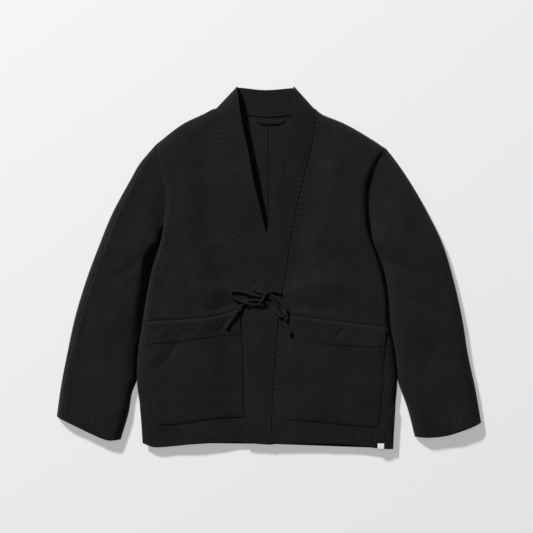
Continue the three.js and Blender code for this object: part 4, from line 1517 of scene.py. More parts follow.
@dataclass
class BackPanel:
    """One half of the back, which lies on the ground, its inner face seen through the neck."""

    side: Side
    seed: int
    cut_size: tuple[float, float]
    cut_area: float
    step: float = 8.0
    neck_columns: int = 25
    outer_columns: int = 18
    # The cloth's soft rumples, as shares of their greatest height, and its rise towards the neck
    rumple: float = 0.8
    rumple_share: float = 0.35
    rumple_swing: Waves = Waves(0.4, 80.0)
    neck_rise: float = 2.0
    neck_rise_run: float = 80.0
    held_by_side: float = 40.0
    held_by_neck: float = 20.0
    sheet: Sheet = field(init=False)

    def _shape(self) -> None:
        """Lay the half out from its centre seam to the side and the armhole, inner face up."""
        side = self.side
        neck_x = side.seam_x(np.array(NECK_POINT_Y))
        side_start = hem_end(side.edge_x)
        neck_seam = BACK_NECK_TABLE.curve("x", "seam", np.array(0.0))
        below = spaced(float(UNDERARM_Y - side_start), self.step)
        rows = rows_up(below, spaced(float(neck_seam - UNDERARM_Y), self.step / 2))
        to_y = rows.between(side_start, side.shoulder_tip_y)
        to_x = side.edge_x(to_y)
        level = rows.between(hem_y(np.array(0.0)), neck_seam)
        by_neck = np.linspace(0, NECK_SHARE, self.neck_columns)
        across = np.concatenate([by_neck, np.linspace(NECK_SHARE, 1, self.outer_columns)[1:]])[None]
        on_neck = across < NECK_SHARE
        past_neck = (across - NECK_SHARE) / (1 - NECK_SHARE)
        top_x = np.where(
            on_neck,
            neck_x * across / NECK_SHARE,
            mix(neck_x, side.edge_x(np.array(side.shoulder_tip_y)), past_neck),
        )
        top_y = np.where(on_neck, BACK_NECK_TABLE.curve("x", "seam", top_x), shoulder_y(top_x))
        towards_top = np.where(rows.is_below, 0, rows.share)[:, None]
        x = mix(to_x[:, None] * across, top_x, towards_top)
        y = mix(mix(level[:, None], to_y[:, None], across), top_y, towards_top**2)
        x[:, -1], y[:, -1] = to_x, to_y
        inside = ease(side.from_side(x, y) / self.held_by_side)
        inside *= ease((neck_seam - y) / self.held_by_neck)
        lift = self.rumple * inside * clamp(self.rumple_share + self.rumple_swing.at(x, y, self.seed))
        lift += self.neck_rise * inside * ease((y - UNDERARM_Y) / self.neck_rise_run)
        points = np.stack([x, y, CLOTH + lift], -1)
        self.sheet = Sheet(points, np.stack([x, y], -1), side.sign)
        self.sheet.sew("start")
        self.sheet.sew("last", lambda line: np.abs(line[:, 0]) < abs(neck_x) + 1)
        self.sheet.sew("end", lambda line: line[:, 1] >= UNDERARM_Y - 1)

    def build(self, cloth: Material, with_pieces: Sequence[Piece] = ()) -> None:
        """Make the half.

        Args:
            cloth: The cloth's finish.
            with_pieces: Narrow pieces sewn on it; not used.
        """
        self._shape()
        panel = make_cloth(f"back_cloth_{self.side.name}", self.sheet, CLOTH)
        dress(panel, cloth)
        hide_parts(f"back_{self.side.name}")


@dataclass
class CentreBackFell:
    """The seam allowances of the centre back, folded over and sewn down flat inside."""

    from_y: float = -352.0
    to_y: float = 308.0
    from_x: float = -5.0
    to_x: float = 3.0
    crown: float = 0.9
    stand: float = 0.75
    thickness: float = 0.7
    rounded: float = 0.15
    rows: int = 130
    ripple: float = 0.15
    ripple_pitch: float = 11.0
    ripple_wander: float = 31.0

    def build(self, cloth: Material) -> Piece:
        """Make the ridge.

        Args:
            cloth: The cloth's finish.

        Returns:
            The ridge.
        """
        y = np.linspace(self.from_y, self.to_y, self.rows)[:, None]
        across = np.array([0, 0.06, 0.15, 0.3, 0.5, 0.7, 0.85, 0.94, 1])[None]
        x = mix(self.from_x, self.to_x, across) + 0 * y
        rolled = quarter_round(np.minimum(across, 1 - across) / self.rounded)
        ripple = self.ripple * np.sin(2 * math.pi * y / self.ripple_pitch + np.sin(y / self.ripple_wander))
        z = CLOTH + self.stand + self.crown * rolled * (1 + ripple)
        points = np.stack([x, y + 0 * x, z], -1)
        sheet = Sheet(points, points[..., :2].copy())
        ridge = make_cloth("centre_back_fell", sheet, self.thickness)
        return dress(ridge, cloth)


@dataclass
class Sleeve:
    """A two-piece sleeve: an upper piece, and an under piece that wraps round the outer edge."""

    side: Side
    creases: tuple[Crease, ...]
    seed: int
    length: float = 595.0
    step: float = 3.0
    # Places across: on the inner roll, the top, the outer roll to the seam and past it, the lower corner
    # and the underside
    inner_columns: int = 9
    plateau_columns: int = 40
    outer_columns: int = 10
    wrap_columns: int = 9
    corner_columns: int = 5
    under_columns: int = 24
    waves: Waves = Waves(1.1, 90.0, 0.35, 34.0)
    # The seam allowances lie under the cloth on the inner side of the seam, as a low ridge
    seam: SewnLine = SewnLine(0.6, 1.6, 0.3, 4.0, 5.0, 9.0)
    fell: float = 0.9
    fell_in: float = 4.5
    fell_width: float = 3.2
    cuff_sewing: SewnLine = SewnLine(0.45, 1.3, 0.6, 0.0, 7.0, 12.0)
    cap_seam: SewnLine = SewnLine(0.35, 3.0, 0.6, 7.0, 6.0, 12.0)
    # How far the cloth is held flat by its edges and its cap, and its sewing by the inner and the outer edge
    held: float = 30.0
    sewing_from_inner: float = 14.0
    sewing_from_outer: float = 8.0
    # Cut sizes in metres, and the share of that rectangle that each piece fills
    upper_size: tuple[float, float] = (0.25, 0.61)
    under_size: tuple[float, float] = (0.27, 0.61)
    filled: float = 0.58

    def plan(self, down: Array, across: Array) -> tuple[Array, Array, Array]:
        """Where a share of the way down and across the sleeve lies on the ground.

        Args:
            down: Shares of the way down.
            across: Shares of the way from the inner to the outer edge.

        Returns:
            The places across and along, and the sleeve's width there.
        """
        side = self.side

        def read(name: str) -> Array:
            """One column of the sleeve's table."""
            return side.sleeve.curve("down", name, down)

        inner_x, inner_y, outer_x, outer_y = (read(n) for n in ("inner_x", "inner_y", "outer_x", "outer_y"))
        beside_body = side.sign * side.edge_x(inner_y) + SLEEVE_CLEAR * clamp(down / CLEAR_BY)
        inner_x = side.sign * np.maximum(side.sign * inner_x, beside_body)
        first = dict(zip(side.sleeve.columns, side.sleeve.rows[0]))
        cap = side.armhole(across)
        chord_x = mix(first["inner_x"], first["outer_x"], across)
        chord_y = mix(first["inner_y"], first["outer_y"], across)
        by_cap = (1 - clamp(down / CAP_CURVE)) ** 2
        by_cuff = clamp((down - 1) / CUFF_CURVE + 1) ** 2
        bow = CUFF_TABLE.curve("across", f"bow_{side.name}", across)
        x = mix(inner_x, outer_x, across) + (cap[..., 0] - chord_x) * by_cap
        y = mix(inner_y, outer_y, across) + (cap[..., 1] - chord_y) * by_cap - bow * by_cuff
        return x, y, np.hypot(outer_x - inner_x, outer_y - inner_y)

    def plain_top(self, down: Array, across: Array) -> Array:
        """Height of the sleeve's top before its creases.

        Args:
            down: Shares of the way down.
            across: Shares of the way from the inner to the outer edge.

        Returns:
            The height at each place.
        """
        side = self.side
        _, _, width = self.plan(down, across)
        from_inner = across * width
        tuck = np.maximum(0, side.sleeve.curve("down", "tuck", down))
        tucked_share = clamp(tuck / FULL_TUCK)
        rolled = quarter_round(from_inner / (ROLL + np.maximum(0, side.sleeve.curve("down", "slack", down))))
        inner = mix(rolled, ease(from_inner / (tuck + ROLL)), tucked_share)
        base = mix(LANDING + CLOTH * tucked_share, CORNER, across)
        loft = side.sleeve.curve("down", "loft", down)
        own = mix(base, loft, inner * quarter_round((1 - across) * width / ROLL))
        seam = side.armhole(across)
        cap = np.maximum(front_top(side, seam[..., 0], seam[..., 1]), base)
        return mix(cap, own, ease(down / CAP_RISE))

    def relief(self, x: Array, y: Array, down: Array, across: Array, width: Array, seam_in: Array) -> Array:
        """What the creases, seams and cuff hem add to the height.

        Args:
            x: Places across the jacket.
            y: Places along it.
            down: Shares of the way down the sleeve.
            across: Shares of the way across it.
            width: The sleeve's width there.
            seam_in: The seam's distance from the outer edge.

        Returns:
            The added height.
        """
        from_inner, from_outer = across * width, (1 - across) * width
        from_cap, from_cuff = down * self.length, (1 - down) * self.length
        loose = ease(from_inner / self.held) * ease(from_outer / self.held) * ease(from_cap / self.held)
        total = loose * (self.waves.at(x, y, self.seed) + folds_at(self.creases, x, y))
        from_seam = from_outer - seam_in
        total += self.fell * bell(from_seam - self.fell_in, self.fell_width)
        total += self.seam.at(from_cap, from_seam, self.seed + 2)
        inside = ease(from_inner / self.sewing_from_inner) * ease(from_outer / self.sewing_from_outer)
        total += inside * HEM_STEP * (1 - ease((from_cuff - HEM_DEPTH) / HEM_STEP_RUN))
        total += inside * self.cuff_sewing.at(from_inner, from_cuff - HEM_STITCH, self.seed + 3)
        return total + self.cap_seam.at(from_inner, from_cap, self.seed + 4, inside)

    def _strip(self) -> tuple[Sheet, int]:
        """The sleeve as one strip, over the top, round the outer edge and back underneath.

        Returns:
            The strip, and how many of its columns are the upper piece's.
        """
        fine = (1.0, self.length - HEM_STITCH, self.length - HEM_DEPTH)
        down = (spaced(self.length, self.step, fine) / self.length)[:, None]
        _, _, width = self.plan(down, np.full_like(down, 0.5))
        width = np.where(down == 0, self.side.shoulder_tip_y - UNDERARM_Y, width)
        seam_in = np.maximum(2, self.side.sleeve.curve("down", "seam_in", down))
        seam_angle = np.arccos(1 - seam_in / ROLL)
        inner = roll_steps(self.inner_columns)[None, :-1] / width
        plateau = mix(ROLL / width, 1 - ROLL / width, np.linspace(0, 1, self.plateau_columns)[None])
        outer_turn = mix(math.pi / 2, seam_angle, np.linspace(0, 1, self.outer_columns)[None, 1:])
        wrap_turn = mix(seam_angle, 0, np.linspace(0, 1, self.wrap_columns)[None, 1:])
        outer = 1 - ROLL * (1 - np.cos(outer_turn)) / width
        wrap = 1 - ROLL * (1 - np.cos(wrap_turn)) / width
        upper = np.concatenate([inner, plateau, outer], 1)
        top = np.concatenate([upper, wrap], 1)
        x, y, wide = self.plan(down + 0 * top, top)
        z = self.plain_top(down + 0 * top, top)
        z = z + self.relief(x, y, down + 0 * top, top, wide, seam_in)
        turn = np.linspace(0, math.pi / 2, self.corner_columns)[None, 1:]
        corner = 1 - CORNER * (1 - np.cos(turn)) / width
        flat = np.linspace(1, 0, self.under_columns)[None, 1:] * (1 - CORNER / width)
        below = np.concatenate([corner, flat], 1)
        below_z = np.concatenate([CORNER * (1 - np.sin(turn)) + 0 * width, 0 * flat], 1)
        below_x, below_y, _ = self.plan(down + 0 * below, below)
        points = np.concatenate([np.stack([x, y, z], -1), np.stack([below_x, below_y, below_z], -1)], 1)
        weave_x = np.concatenate([(top - 0.5) * width, (1.5 - below) * width], 1)
        weave = np.stack([weave_x, down * self.length + 0 * weave_x], -1)
        return Sheet(points, weave, -self.side.sign), upper.shape[1]

    def build(self, cloth: Material, stitches: StitchRows) -> None:
        """Make both pieces and sew the cuff's hem.

        Args:
            cloth: The cloth's finish.
            stitches: Takes the hem's stitches.
        """
        strip, count = self._strip()
        upper, under = strip.cut(0, count), strip.cut(count - 1, strip.points.shape[1])
        upper.part_along("end")
        under.part_along("start")
        upper.sew("first")
        under.sew("first")
        upper.keep_above(LANDING, CLOTH)
        for part, sheet, size in (("upper", upper, self.upper_size), ("under", under, self.under_size)):
            piece = make_cloth(f"sleeve_cloth_{self.side.name}_{part}", sheet, CLOTH, ("last",))
            dress(piece, cloth)
            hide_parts(f"sleeve_{self.side.name}_{part}")
        stitches.add(*upper.line_at("last", HEM_STITCH), (4.0, 4.0))


# The band's edges: its folded opening edge drops further than its seam
BAND_FOLD = RoundedEdge(0.9, 2.5)
BAND_SEAM = RoundedEdge(0.7, 2.0)
BAND_COLUMN = 6.0


@dataclass
class Neckband:
    """The folded band down one front, from the hem to the side of the neck."""

    side: Side
    creases: tuple[Crease, ...]
    seed: int
    size: tuple[float, float] = (0.056, 0.745)
    step: float = 2.4
    edge_sewing: SewnLine = SewnLine(0.45, 1.5, 0.5, 0.0, 5.0, 11.0)
    waves: Waves = Waves(0.4, 50.0)
    held: float = 12.0
    sheet: Sheet = field(init=False)

    def _shape(self) -> None:
        """Lay the band out, row by row from the hem, each from the opening edge to the seam."""
        side = self.side
        fold_level = BAND_CLOTH + SEAM_GAP
        below = spaced(UNDERARM_Y - LOWEST_Y, self.step)
        rows = rows_up(below, spaced(COLLAR_TOP_Y - UNDERARM_Y, self.step))
        seam_y = rows.between(hem_end(side.seam_x), NECK_POINT_Y)
        open_y = rows.between(hem_end(side.open_x), COLLAR_TOP_Y)
        to_neck = (1 - rows.share) * (NECK_POINT_Y - UNDERARM_Y)
        from_fold = np.where(rows.is_below, ROLL, to_neck)[:, None]
        open_x, seam_x = side.open_x(open_y)[:, None], side.seam_x(seam_y)[:, None]
        width = np.hypot(seam_x - open_x, seam_y[:, None] - open_y[:, None])
        typical = float(np.median(width))
        across = with_edges(spaced(typical, BAND_COLUMN, (BAND_STITCH, typical - BAND_STITCH)))[None]
        x = mix(open_x, seam_x, across)
        y = mix(open_y[:, None], seam_y[:, None], across)
        crown = side.band_top + STAND_TABLE.curve("y", f"stand_{side.name}", y) * (1 - across)
        z = mix(fold_level, crown, quarter_round(from_fold / ROLL))
        z = z + self._relief(across * width, (1 - across) * width, x, y)
        points = np.stack([x, y, z], -1)
        weave = np.stack([across * width, y], -1)
        self.sheet = Sheet(points, weave, side.sign)
        self.sheet.sew("end")
        self.sheet.keep_above(fold_level, BAND_CLOTH)

    def _relief(self, from_open: Array, from_seam: Array, x: Array, y: Array) -> Array:
        """What the band's rounded edges and its stitching add to its height.

        Args:
            from_open: Distances from the opening edge.
            from_seam: Distances from the seam.
            x: Places across the jacket.
            y: Places along it.

        Returns:
            The added height.
        """
        total = folds_at(self.creases, x, y) - BAND_FOLD.at(from_open) - BAND_SEAM.at(from_seam)
        for away, seed in ((from_open, self.seed), (from_seam, self.seed + 1)):
            total += self.edge_sewing.at(y, away - BAND_STITCH, seed)
        middle = ease(from_open / self.held) * ease(from_seam / self.held)
        return total + middle * self.waves.at(x, y, self.seed + 2)

    def build(self, cloth: Material, stitches: StitchRows) -> None:
        """Make the band and sew both its edges.

        Args:
            cloth: The cloth's finish.
            stitches: Takes the stitches.
        """
        self._shape()
        band = make_cloth(f"neckband_cloth_{self.side.name}", self.sheet, BAND_CLOTH, ("start", "first"))
        dress(band, cloth)
        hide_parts(f"neckband_{self.side.name}")
        stitches.add(*self.sheet.line_at("start", BAND_STITCH), (3.0, 12.0))
        stitches.add(*self.sheet.line_at("end", BAND_STITCH), (3.0, 12.0))


@dataclass
class BackNeckband:
    """The part of the band round the back of the neck, flat under both folds."""

    seed: int
    size: tuple[float, float] = (0.05, 0.2)
    area: float = 0.0085
    height: float = 50.0
    columns: int = 60
    thickness: float = 2.8
    # How far it stays inside the bands' folds and below their upper edge
    inset: float = 2.0
    below_edge: float = 1.0
    # How far its lower edge rises over the hanger loop's ends, and how far its middle sinks
    seam_lift: float = 1.0
    seam_lift_run: float = 20.0
    hollow: float = 0.08
    held: float = 0.15
    sewing: SewnLine = SewnLine(0.4, 1.3, 0.2, 0.0, 4.0, 10.0)

    def build(self, cloth: Material, stitches: StitchRows) -> None:
        """Make the band and sew both its edges.

        Args:
            cloth: The cloth's finish.
            stitches: Takes the stitches.
        """
        right = RIGHT.seam_x(np.array(NECK_POINT_Y))
        left = LEFT.seam_x(np.array(NECK_POINT_Y))
        fold_right = RIGHT.open_x(np.array(COLLAR_TOP_Y))
        fold_left = LEFT.open_x(np.array(COLLAR_TOP_Y))
        along = np.linspace(0, 1, self.columns)[None]
        heights = spaced(self.height, BAND_COLUMN, (BAND_STITCH, self.height - BAND_STITCH))
        up = with_edges(heights)[:, None]
        seam_x = mix(right + self.inset, left - self.inset, along)
        top_x = mix(fold_right + self.inset, fold_left - self.inset, along)
        seam_y = BACK_NECK_TABLE.curve("x", "seam", seam_x)
        top_y = BACK_NECK_TABLE.curve("x", "edge", top_x) - self.below_edge
        x = mix(seam_x, top_x, up)
        y = mix(seam_y, top_y, up)
        span = np.hypot(top_x - seam_x, top_y - seam_y)
        from_seam, from_edge = up * span, (1 - up) * span
        z = BAND_CLOTH - BAND_FOLD.at(from_edge) - BAND_SEAM.at(from_seam)
        z = z + self.seam_lift * (1 - ease(from_seam / self.seam_lift_run))
        middle = ease(along / self.held) * ease((1 - along) / self.held)
        z = z - self.hollow * middle
        for away, seed in ((from_seam, self.seed), (from_edge, self.seed + 1)):
            z = z + self.sewing.at(x, away - BAND_STITCH, seed, middle)
        sheet = Sheet(np.stack([x, y, z], -1), np.stack([seam_x + 0 * y, from_seam], -1))
        sheet.sew("first")
        band = make_cloth("neckband_cloth_back", sheet, self.thickness, ("last",))
        dress(band, cloth)
        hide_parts("neckband_back")
        stitches.add(*sheet.line_at("first", BAND_STITCH), (2.0, 2.0))
        stitches.add(*sheet.line_at("last", BAND_STITCH), (2.0, 2.0))


@dataclass
class Pocket:
    """A patch pocket, sewn to its front on three sides, with a deep turned hem at its mouth."""

    front: FrontPanel
    sides: Table
    mouth: Table
    hem_line: Table
    bottom: Table
    creases: tuple[Crease, ...]
    seed: int
    cut_size: tuple[float, float]
    step: float = 2.6
    # Its typical height up to the turned hem, the hem's height, its width, and the level of its middle
    height: float = 175.0
    turned_height: float = 42.0
    width: float = 200.0
    middle_y: float = -200.0
    thickness: float = 1.44
    edge_stitch: float = 1.8
    hem_stitch: float = 2.6
    edge_sewing: SewnLine = SewnLine(0.25, 0.8, 0.8, 2.2, 5.5, 12.0)
    hem_sewing: SewnLine = SewnLine(0.35, 1.1, 0.45, 0.0, 6.0, 11.0)
    sewn_edge: RoundedEdge = RoundedEdge(0.5, 1.6)
    mouth_edge: RoundedEdge = RoundedEdge(0.5, 1.8)
    waves: Waves = Waves(0.35, 50.0)
    # How far its sewn edges are pressed down and its mouth gapes, and over what distances
    pressed: float = 0.75
    gape: float = 1.1
    edge_run: float = 9.0
    side_run: float = 14.0
    side_clear: float = 0.35
    hem_run: float = 1.3
    held: float = 18.0
    probe: float = 0.8
    sheet: Sheet = field(init=False)

    def _shape(self) -> int:
        """Lay the pocket on its front, row by row from the bottom up, each from the outer side in.

        Returns:
            The row of the turned hem's stitches.
        """
        up = with_edges(spaced(self.height, self.step), by_end=(1.5,))
        by_line = (0.6, 1.2, 1.8, self.hem_stitch)
        turned = with_edges(spaced(self.turned_height, self.step), by_line, (0.6, 1.4))[1:]
        outward = with_edges(spaced(self.width, self.step))
        is_turned = (np.arange(len(up) + len(turned)) >= len(up))[:, None]
        share = np.concatenate([up, turned])[:, None]

        def level(x: Array) -> Array:
            """Height on the jacket of each row, at the given places across."""
            low, line = self.bottom.curve("x", "y", x), self.hem_line.curve("x", "y", x)
            return np.where(is_turned, mix(line, self.mouth.curve("x", "y", x), share), mix(low, line, share))

        at_middle = np.array(self.middle_y)
        outer_x, inner_x = (self.sides.curve("y", name, at_middle) for name in ("outer", "inner"))
        guess = level(mix(outer_x, inner_x, outward[None]))
        outer_x, inner_x = (self.sides.curve("y", name, guess) for name in ("outer", "inner"))
        x = mix(outer_x, inner_x, outward[None])
        y = level(x)
        under, probe = self.front.surface, self.probe
        slope_x = (under(x + probe, y) - under(x - probe, y)) / (2 * probe)
        slope_y = (under(x, y + probe) - under(x, y - probe)) / (2 * probe)
        out = unit(np.stack([-slope_x, -slope_y, np.ones_like(x)], -1))
        base = np.stack([x, y, under(x, y)], -1)
        width = np.abs(inner_x - outer_x)
        from_side = np.minimum(outward[None], 1 - outward[None]) * width
        from_bottom = y - self.bottom.curve("x", "y", x)
        from_mouth = self.mouth.curve("x", "y", x) - y
        from_line = y - self.hem_line.curve("x", "y", x)
        sewn = np.minimum(from_side, from_bottom)
        clear = POCKET_CLEAR - self.pressed * (1 - ease(sewn / self.edge_run))
        clear += self.gape * (1 - ease(from_mouth / self.edge_run))
        clear *= mix(self.side_clear, 1, ease(from_side / self.side_run))
        height = clear + CLOTH + POCKET_HEM_CLOTH * ease(from_line / self.hem_run)
        height -= self.sewn_edge.at(sewn) + self.mouth_edge.at(from_mouth)
        height += self.edge_sewing.at(x + y, sewn - self.edge_stitch, self.seed)
        loose = ease(from_side / self.held) * ease(from_bottom / self.held)
        height += loose * (self.waves.at(x, y, self.seed + 1) + folds_at(self.creases, x, y))
        height += self.hem_sewing.at(x, from_line - self.hem_stitch, self.seed + 2)
        self.sheet = Sheet(base + out * height[..., None], np.stack([x, y], -1), -self.front.side.sign)
        return len(up) + by_line.index(self.hem_stitch)

    def build(self, cloth: Material, stitches: StitchRows) -> None:
        """Make the pocket and sew its edges and its turned hem.

        Args:
            cloth: The cloth's finish.
            stitches: Takes the stitches.
        """
        hem_row = self._shape()
        name = f"pocket_cloth_{self.front.side.name}"
        pocket = make_cloth(name, self.sheet, self.thickness, ("last",))
        dress(pocket, cloth)
        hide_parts(f"pocket_{self.front.side.name}")
        for edge in ("start", "end", "first"):
            stitches.add(*self.sheet.line_at(edge, self.edge_stitch), (2.0, 2.0))
        stitches.add(self.sheet.points[hem_row], self.sheet.normals[hem_row], (4.0, 4.0))


@dataclass
class HangerLoop:
    """A narrow loop of the band's cloth that sags from the back neck seam."""

    route: tuple[tuple[float, float, float], ...]
    width: float = 7.0
    thickness: float = 1.3
    step: float = 1.0
    crown: float = 0.25
    ripple: float = 0.12
    ripple_pitch: float = 6.0
    size: tuple[float, float] = (0.01, 0.078)
    area: float = 0.00056

    def build(self, cloth: Material) -> None:
        """Make the loop.

        Args:
            cloth: The cloth's finish.
        """
        middle = route_curve(self.route, self.step)
        run = np.gradient(middle, axis=0)
        across = unit(np.stack([-run[:, 1], run[:, 0], 0 * run[:, 0]], 1)) * self.width / 2
        share = np.array([-1, -0.9, -0.72, -0.4, 0, 0.4, 0.72, 0.9, 1])
        points = middle[:, None] + across[:, None] * share[None, :, None]
        travelled = length_along(middle, 0)
        ripple = self.ripple * np.sin(2 * math.pi * travelled / self.ripple_pitch)[:, None] * np.abs(share)
        points[..., 2] += ripple - self.crown * share**2
        weave = np.stack([share * self.width / 2 + 0 * ripple, travelled[:, None] + 0 * ripple], -1)
        loop = make_cloth("hanger_loop_cloth", Sheet(points, weave, -1), self.thickness, ("start", "end"))
        dress(loop, cloth)
        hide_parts("hanger_loop")


@dataclass
class HemTab:
    """A small bare tab of tape, folded round the hem of the left front."""

    front: FrontPanel
    x: float = 223.5
    width: float = 13.5
    top_y: float = -361.5
    thickness: float = 0.8
    clear: float = 0.6
    lower_edge_up: float = 4.0
    fold_depth: float = 0.6
    columns: int = 9
    leaf_rows: int = 10
    fold_rows: int = 13
    size: tuple[float, float] = (0.0135, 0.033)

    def build(self, tape: Material) -> None:
        """Make the tab.

        Args:
            tape: The tape's finish.
        """
        x = self.x + np.linspace(0, self.width, self.columns)
        far_x = np.array(self.x + self.width)
        hem = float(np.min(hem_y(x))) - self.clear
        ends = (self.top_y, hem + self.lower_edge_up)
        lying = max(float(np.max(self.front.surface(x, np.full_like(x, y)))) for y in ends)
        high = lying + self.clear + self.thickness
        low = float(front_top(LEFT, far_x, hem_y(far_x))) - CLOTH - self.clear - self.thickness
        middle, radius = (high + low) / 2, (high - low) / 2
        depth = radius * self.fold_depth
        leaf = np.linspace(self.top_y, hem + depth, self.leaf_rows)
        turn = np.linspace(math.pi / 2, -math.pi / 2, self.fold_rows)[1:-1]
        fold_y = hem - self.thickness + depth * (1 - np.cos(turn))
        profile_y = np.concatenate([leaf, fold_y, leaf[::-1]])[:, None]
        profile_z = np.concatenate([0 * leaf + high, middle + radius * np.sin(turn), 0 * leaf + low])[:, None]
        points = np.stack([x + 0 * profile_y, profile_y + 0 * x, profile_z + 0 * x], -1)
        weave = np.stack([points[..., 0], length_along(points, 0)], -1)
        tab = make_cloth("hem_tab_tape", Sheet(points, weave), self.thickness)
        dress(tab, tape)
        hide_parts("hem_label")


# Sizes of this jacket's pieces

TIE_RIGHT_ROUTE = (
    (-35, -40, 17.6), (-31, -44, 20.8), (-22, -50, 21), (-12, -53, 21), (-2, -55, 21), (7, -58, 21),
    (15, -64, 21), (24, -71, 21.5), (31, -79, 22.5), (35, -88, 24), (33, -97, 26), (26, -101, 26.5),
    (18, -95, 25.5), (11, -87, 23), (4, -79, 21.3), (-3, -72, 21), (-10, -68, 21), (-19, -67, 21),
    (-28, -67, 21), (-36, -67, 20.5), (-43, -69, 16.5), (-50, -73, 16), (-57, -79, 17), (-61, -85, 19.5),
    (-66, -92, 20), (-74, -104, 20.2), (-82, -115, 20.6), (-88, -124, 21),
)
TIE_LEFT_ROUTE = (
    (25, -52, 21), (18, -50, 21.5), (10, -48, 22.5), (2, -48, 24.5), (-5, -52, 27), (-10, -59, 27),
    (-14, -67, 27), (-19, -74, 24.5), (-27, -76, 22), (-38, -75, 21.6), (-49, -72, 21.8), (-61, -67, 19.5),
    (-72, -62, 17.5), (-79, -55, 17), (-74, -49, 17), (-62, -49, 17), (-50, -51, 18), (-40, -54, 20.5),
    (-33, -56, 21), (-22, -58.5, 21), (-10, -59.5, 21), (0, -61, 21), (7, -65, 21), (12, -73, 21),
    (17, -82, 21), (21, -91, 20.8), (25, -100, 20.6), (31, -110, 20.6), (35, -117, 22.5), (39, -125, 25),
    (44, -135, 26),
)
LOOP_ROUTE = (
    (-28, 309, 5.0), (-25, 303, 5.4), (-16, 300, 6.4), (1, 299, 7.0), (18, 300, 6.4), (27, 303, 5.4),
    (30, 309, 5.0),
)
POCKET_SIDES_RIGHT = Table(
    ("y", "outer", "inner"),
    ((-322, -226, -52), (-303, -237, -52), (-240, -242, -54), (-157, -254, -56), (-110, -256, -59)),
)
POCKET_SIDES_LEFT = Table(
    ("y", "outer", "inner"),
    ((-328, 224, 35), (-285, 230, 35), (-211, 234, 36), (-160, 238, 38), (-110, 242, 43)),
)
MOUTH_RIGHT = Table(("x", "y"), ((-257, -114), (-150, -108), (-100, -100), (-59, -88)))
MOUTH_LEFT = Table(("x", "y"), ((35, -99), (64, -104), (156, -116), (243, -126)))
HEM_LINE_RIGHT = Table(("x", "y"), ((-257, -158), (-190, -152), (-91, -139), (-55, -138)))
HEM_LINE_LEFT = Table(("x", "y"), ((35, -144), (85, -151), (126, -158), (240, -164)))
BOTTOM_RIGHT = Table(("x", "y"), ((-240, -323), (-190, -321), (-113, -310), (-50, -307)))
BOTTOM_LEFT = Table(("x", "y"), ((33, -312), (74, -314), (167, -323), (232, -329)))

CREASES_FRONT_RIGHT = (
    Crease((-50, -62), (-150, -96), 6, -1.3, 4),
    Crease((-52, -50), (-172, -44), 8, 1.1, -5),
    Crease((-56, -40), (-134, 8), 7, -0.9, 4),
    Crease((-46, -90), (-96, -99), 5, 0.9),
    Crease((-120, 60), (-190, 96), 14, -0.9, 5),
    Crease((-100, 150), (-176, 214), 16, 0.8, -6),
    Crease((-196, 20), (-236, -60), 9, -0.9, 3),
    Crease((-88, 250), (-150, 288), 10, -0.7, 3),
)
CREASES_FRONT_LEFT = (
    Crease((38, -58), (128, -90), 6, -1.3, -4),
    Crease((42, -44), (158, -34), 8, 1.1, 5),
    Crease((44, -34), (118, 14), 7, -0.9, -4),
    Crease((36, -84), (84, -97), 5, 0.9),
    Crease((96, 70), (168, 104), 14, -0.9, -5),
    Crease((84, 160), (160, 222), 16, 0.8, 6),
    Crease((180, 30), (228, -52), 9, -0.9, -3),
    Crease((110, 270), (176, 240), 10, -0.7, 3),
)
CREASES_POCKET_RIGHT = (
    Crease((-188, -156), (-226, -206), 5, -1.7, 3),
    Crease((-86, -100), (-104, -134), 5, -1.7, 2),
    Crease((-124, -112), (-150, -140), 6, 1.5, -2),
    Crease((-70, -112), (-80, -140), 4, 1.3),
    Crease((-166, -120), (-196, -146), 6, -1.4, 3),
    Crease((-206, -122), (-232, -150), 5, 1.2, -2),
    Crease((-90, -170), (-160, -200), 12, 0.7, 5),
    Crease((-110, -240), (-206, -280), 14, -0.7, -6),
)
CREASES_POCKET_LEFT = (
    Crease((60, -110), (84, -146), 5, -1.7, 2),
    Crease((92, -116), (124, -152), 6, 1.5, -3),
    Crease((130, -148), (156, -120), 4, -1.8, -2),
    Crease((166, -126), (198, -158), 6, -1.4, 3),
    Crease((178, -122), (208, -140), 5, 1.3, -2),
    Crease((216, -132), (230, -160), 5, 1.2),
    Crease((60, -190), (140, -212), 12, 0.7, -5),
    Crease((90, -250), (196, -288), 14, -0.7, 6),
)
CREASES_BAND_RIGHT = (
    Crease((-100, 300), (-78, 316), 6, -0.8),
    Crease((-86, 190), (-52, 204), 8, 0.6),
)
# The first marks the bar tack that holds the right tie.
CREASES_BAND_LEFT = (
    Crease((-27, -22), (-31, -47), 1.4, -1.6),
    Crease((-20, -30), (14, -22), 6, 0.7),
    Crease((-34, -140), (0, -152), 8, 0.6),
    Crease((-36, -250), (-4, -238), 9, -0.6),
    Crease((60, 250), (84, 236), 7, 0.6),
)
CREASES_SLEEVE_RIGHT = (
    Crease((-250, 20), (-330, -20), 12, -1.6, 4),
    Crease((-266, -40), (-340, -60), 10, -1.2, -3),
    Crease((-270, 90), (-306, 128), 9, 1.0, 2),
    Crease((-300, -150), (-384, -196), 13, -1.1, 5),
    Crease((-312, -236), (-404, -222), 11, 0.9, -4),
    Crease((-300, 24), (-352, -36), 14, 0.9, 4),
)
CREASES_SLEEVE_LEFT = (
    Crease((250, 10), (330, -10), 12, -1.6, -4),
    Crease((262, -60), (340, -80), 10, -1.2, 3),
    Crease((262, 96), (306, 132), 9, 1.0, -2),
    Crease((290, -146), (372, -190), 13, -1.1, -5),
    Crease((304, -240), (398, -216), 11, 0.9, 4),
    Crease((290, 30), (350, -30), 14, 0.9, -4),
)


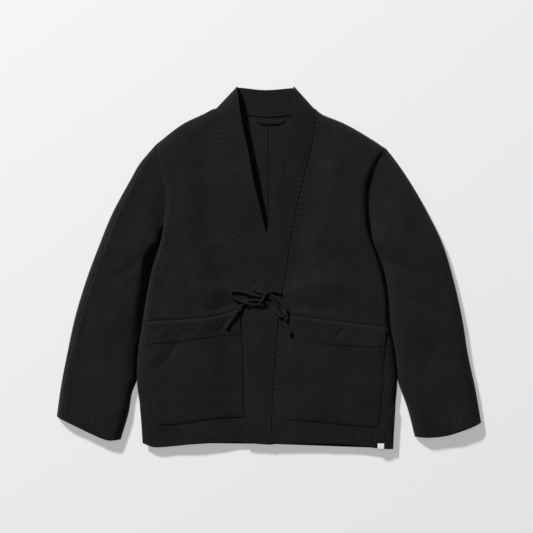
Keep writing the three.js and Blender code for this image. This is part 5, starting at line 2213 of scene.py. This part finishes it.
def main() -> None:
    """Build the studio, then the jacket from its cords to its cloth."""
    logging.basicConfig(level=logging.INFO, format="%(name)s: %(message)s")
    Studio().build()
    cord, thread = ClothMaterial(CORD_COTTON).build(), ClothMaterial(SEWING_THREAD).build()
    Tie("right", TIE_RIGHT_ROUTE).build(cord, thread)
    Tie("left", TIE_LEFT_ROUTE).build(cord, thread)
    sashiko, band = ClothMaterial(SASHIKO).build(), ClothMaterial(BAND_SASHIKO).build()
    plain, tape = ClothMaterial(PLAIN_COTTON).build(), ClothMaterial(WHITE_TAPE).build()
    body_stitches = StitchRows("stitches_body")
    band_stitches = StitchRows("stitches_bands")
    pocket_stitches = StitchRows("stitches_pockets")

    front_right = FrontPanel(RIGHT, CREASES_FRONT_RIGHT, 11, (0.29, 0.76), 0.15, MOUTH_RIGHT)
    front_left = FrontPanel(LEFT, CREASES_FRONT_LEFT, 21, (0.29, 0.76), 0.155, MOUTH_LEFT)
    for front in (front_right, front_left):
        front.build(sashiko, body_stitches)
    fell = CentreBackFell().build(sashiko)
    BackPanel(RIGHT, 31, (0.3, 0.74), 0.175).build(sashiko, (fell,))
    BackPanel(LEFT, 41, (0.3, 0.74), 0.17).build(sashiko)
    Sleeve(RIGHT, CREASES_SLEEVE_RIGHT, 51).build(sashiko, body_stitches)
    Sleeve(LEFT, CREASES_SLEEVE_LEFT, 61).build(sashiko, body_stitches)
    BackNeckband(71).build(band, band_stitches)
    Neckband(RIGHT, CREASES_BAND_RIGHT, 81).build(band, band_stitches)
    Neckband(LEFT, CREASES_BAND_LEFT, 91).build(band, band_stitches)
    Pocket(
        front_right, POCKET_SIDES_RIGHT, MOUTH_RIGHT, HEM_LINE_RIGHT, BOTTOM_RIGHT,
        CREASES_POCKET_RIGHT, 101, (0.212, 0.265),
    ).build(plain, pocket_stitches)
    Pocket(
        front_left, POCKET_SIDES_LEFT, MOUTH_LEFT, HEM_LINE_LEFT, BOTTOM_LEFT,
        CREASES_POCKET_LEFT, 111, (0.212, 0.265),
    ).build(plain, pocket_stitches)
    HangerLoop(LOOP_ROUTE).build(band)
    HemTab(front_left).build(tape)
    for rows in (body_stitches, band_stitches, pocket_stitches):
        rows.make(thread)

    bpy.context.view_layer.update()


if __name__ == "__main__":
    main()
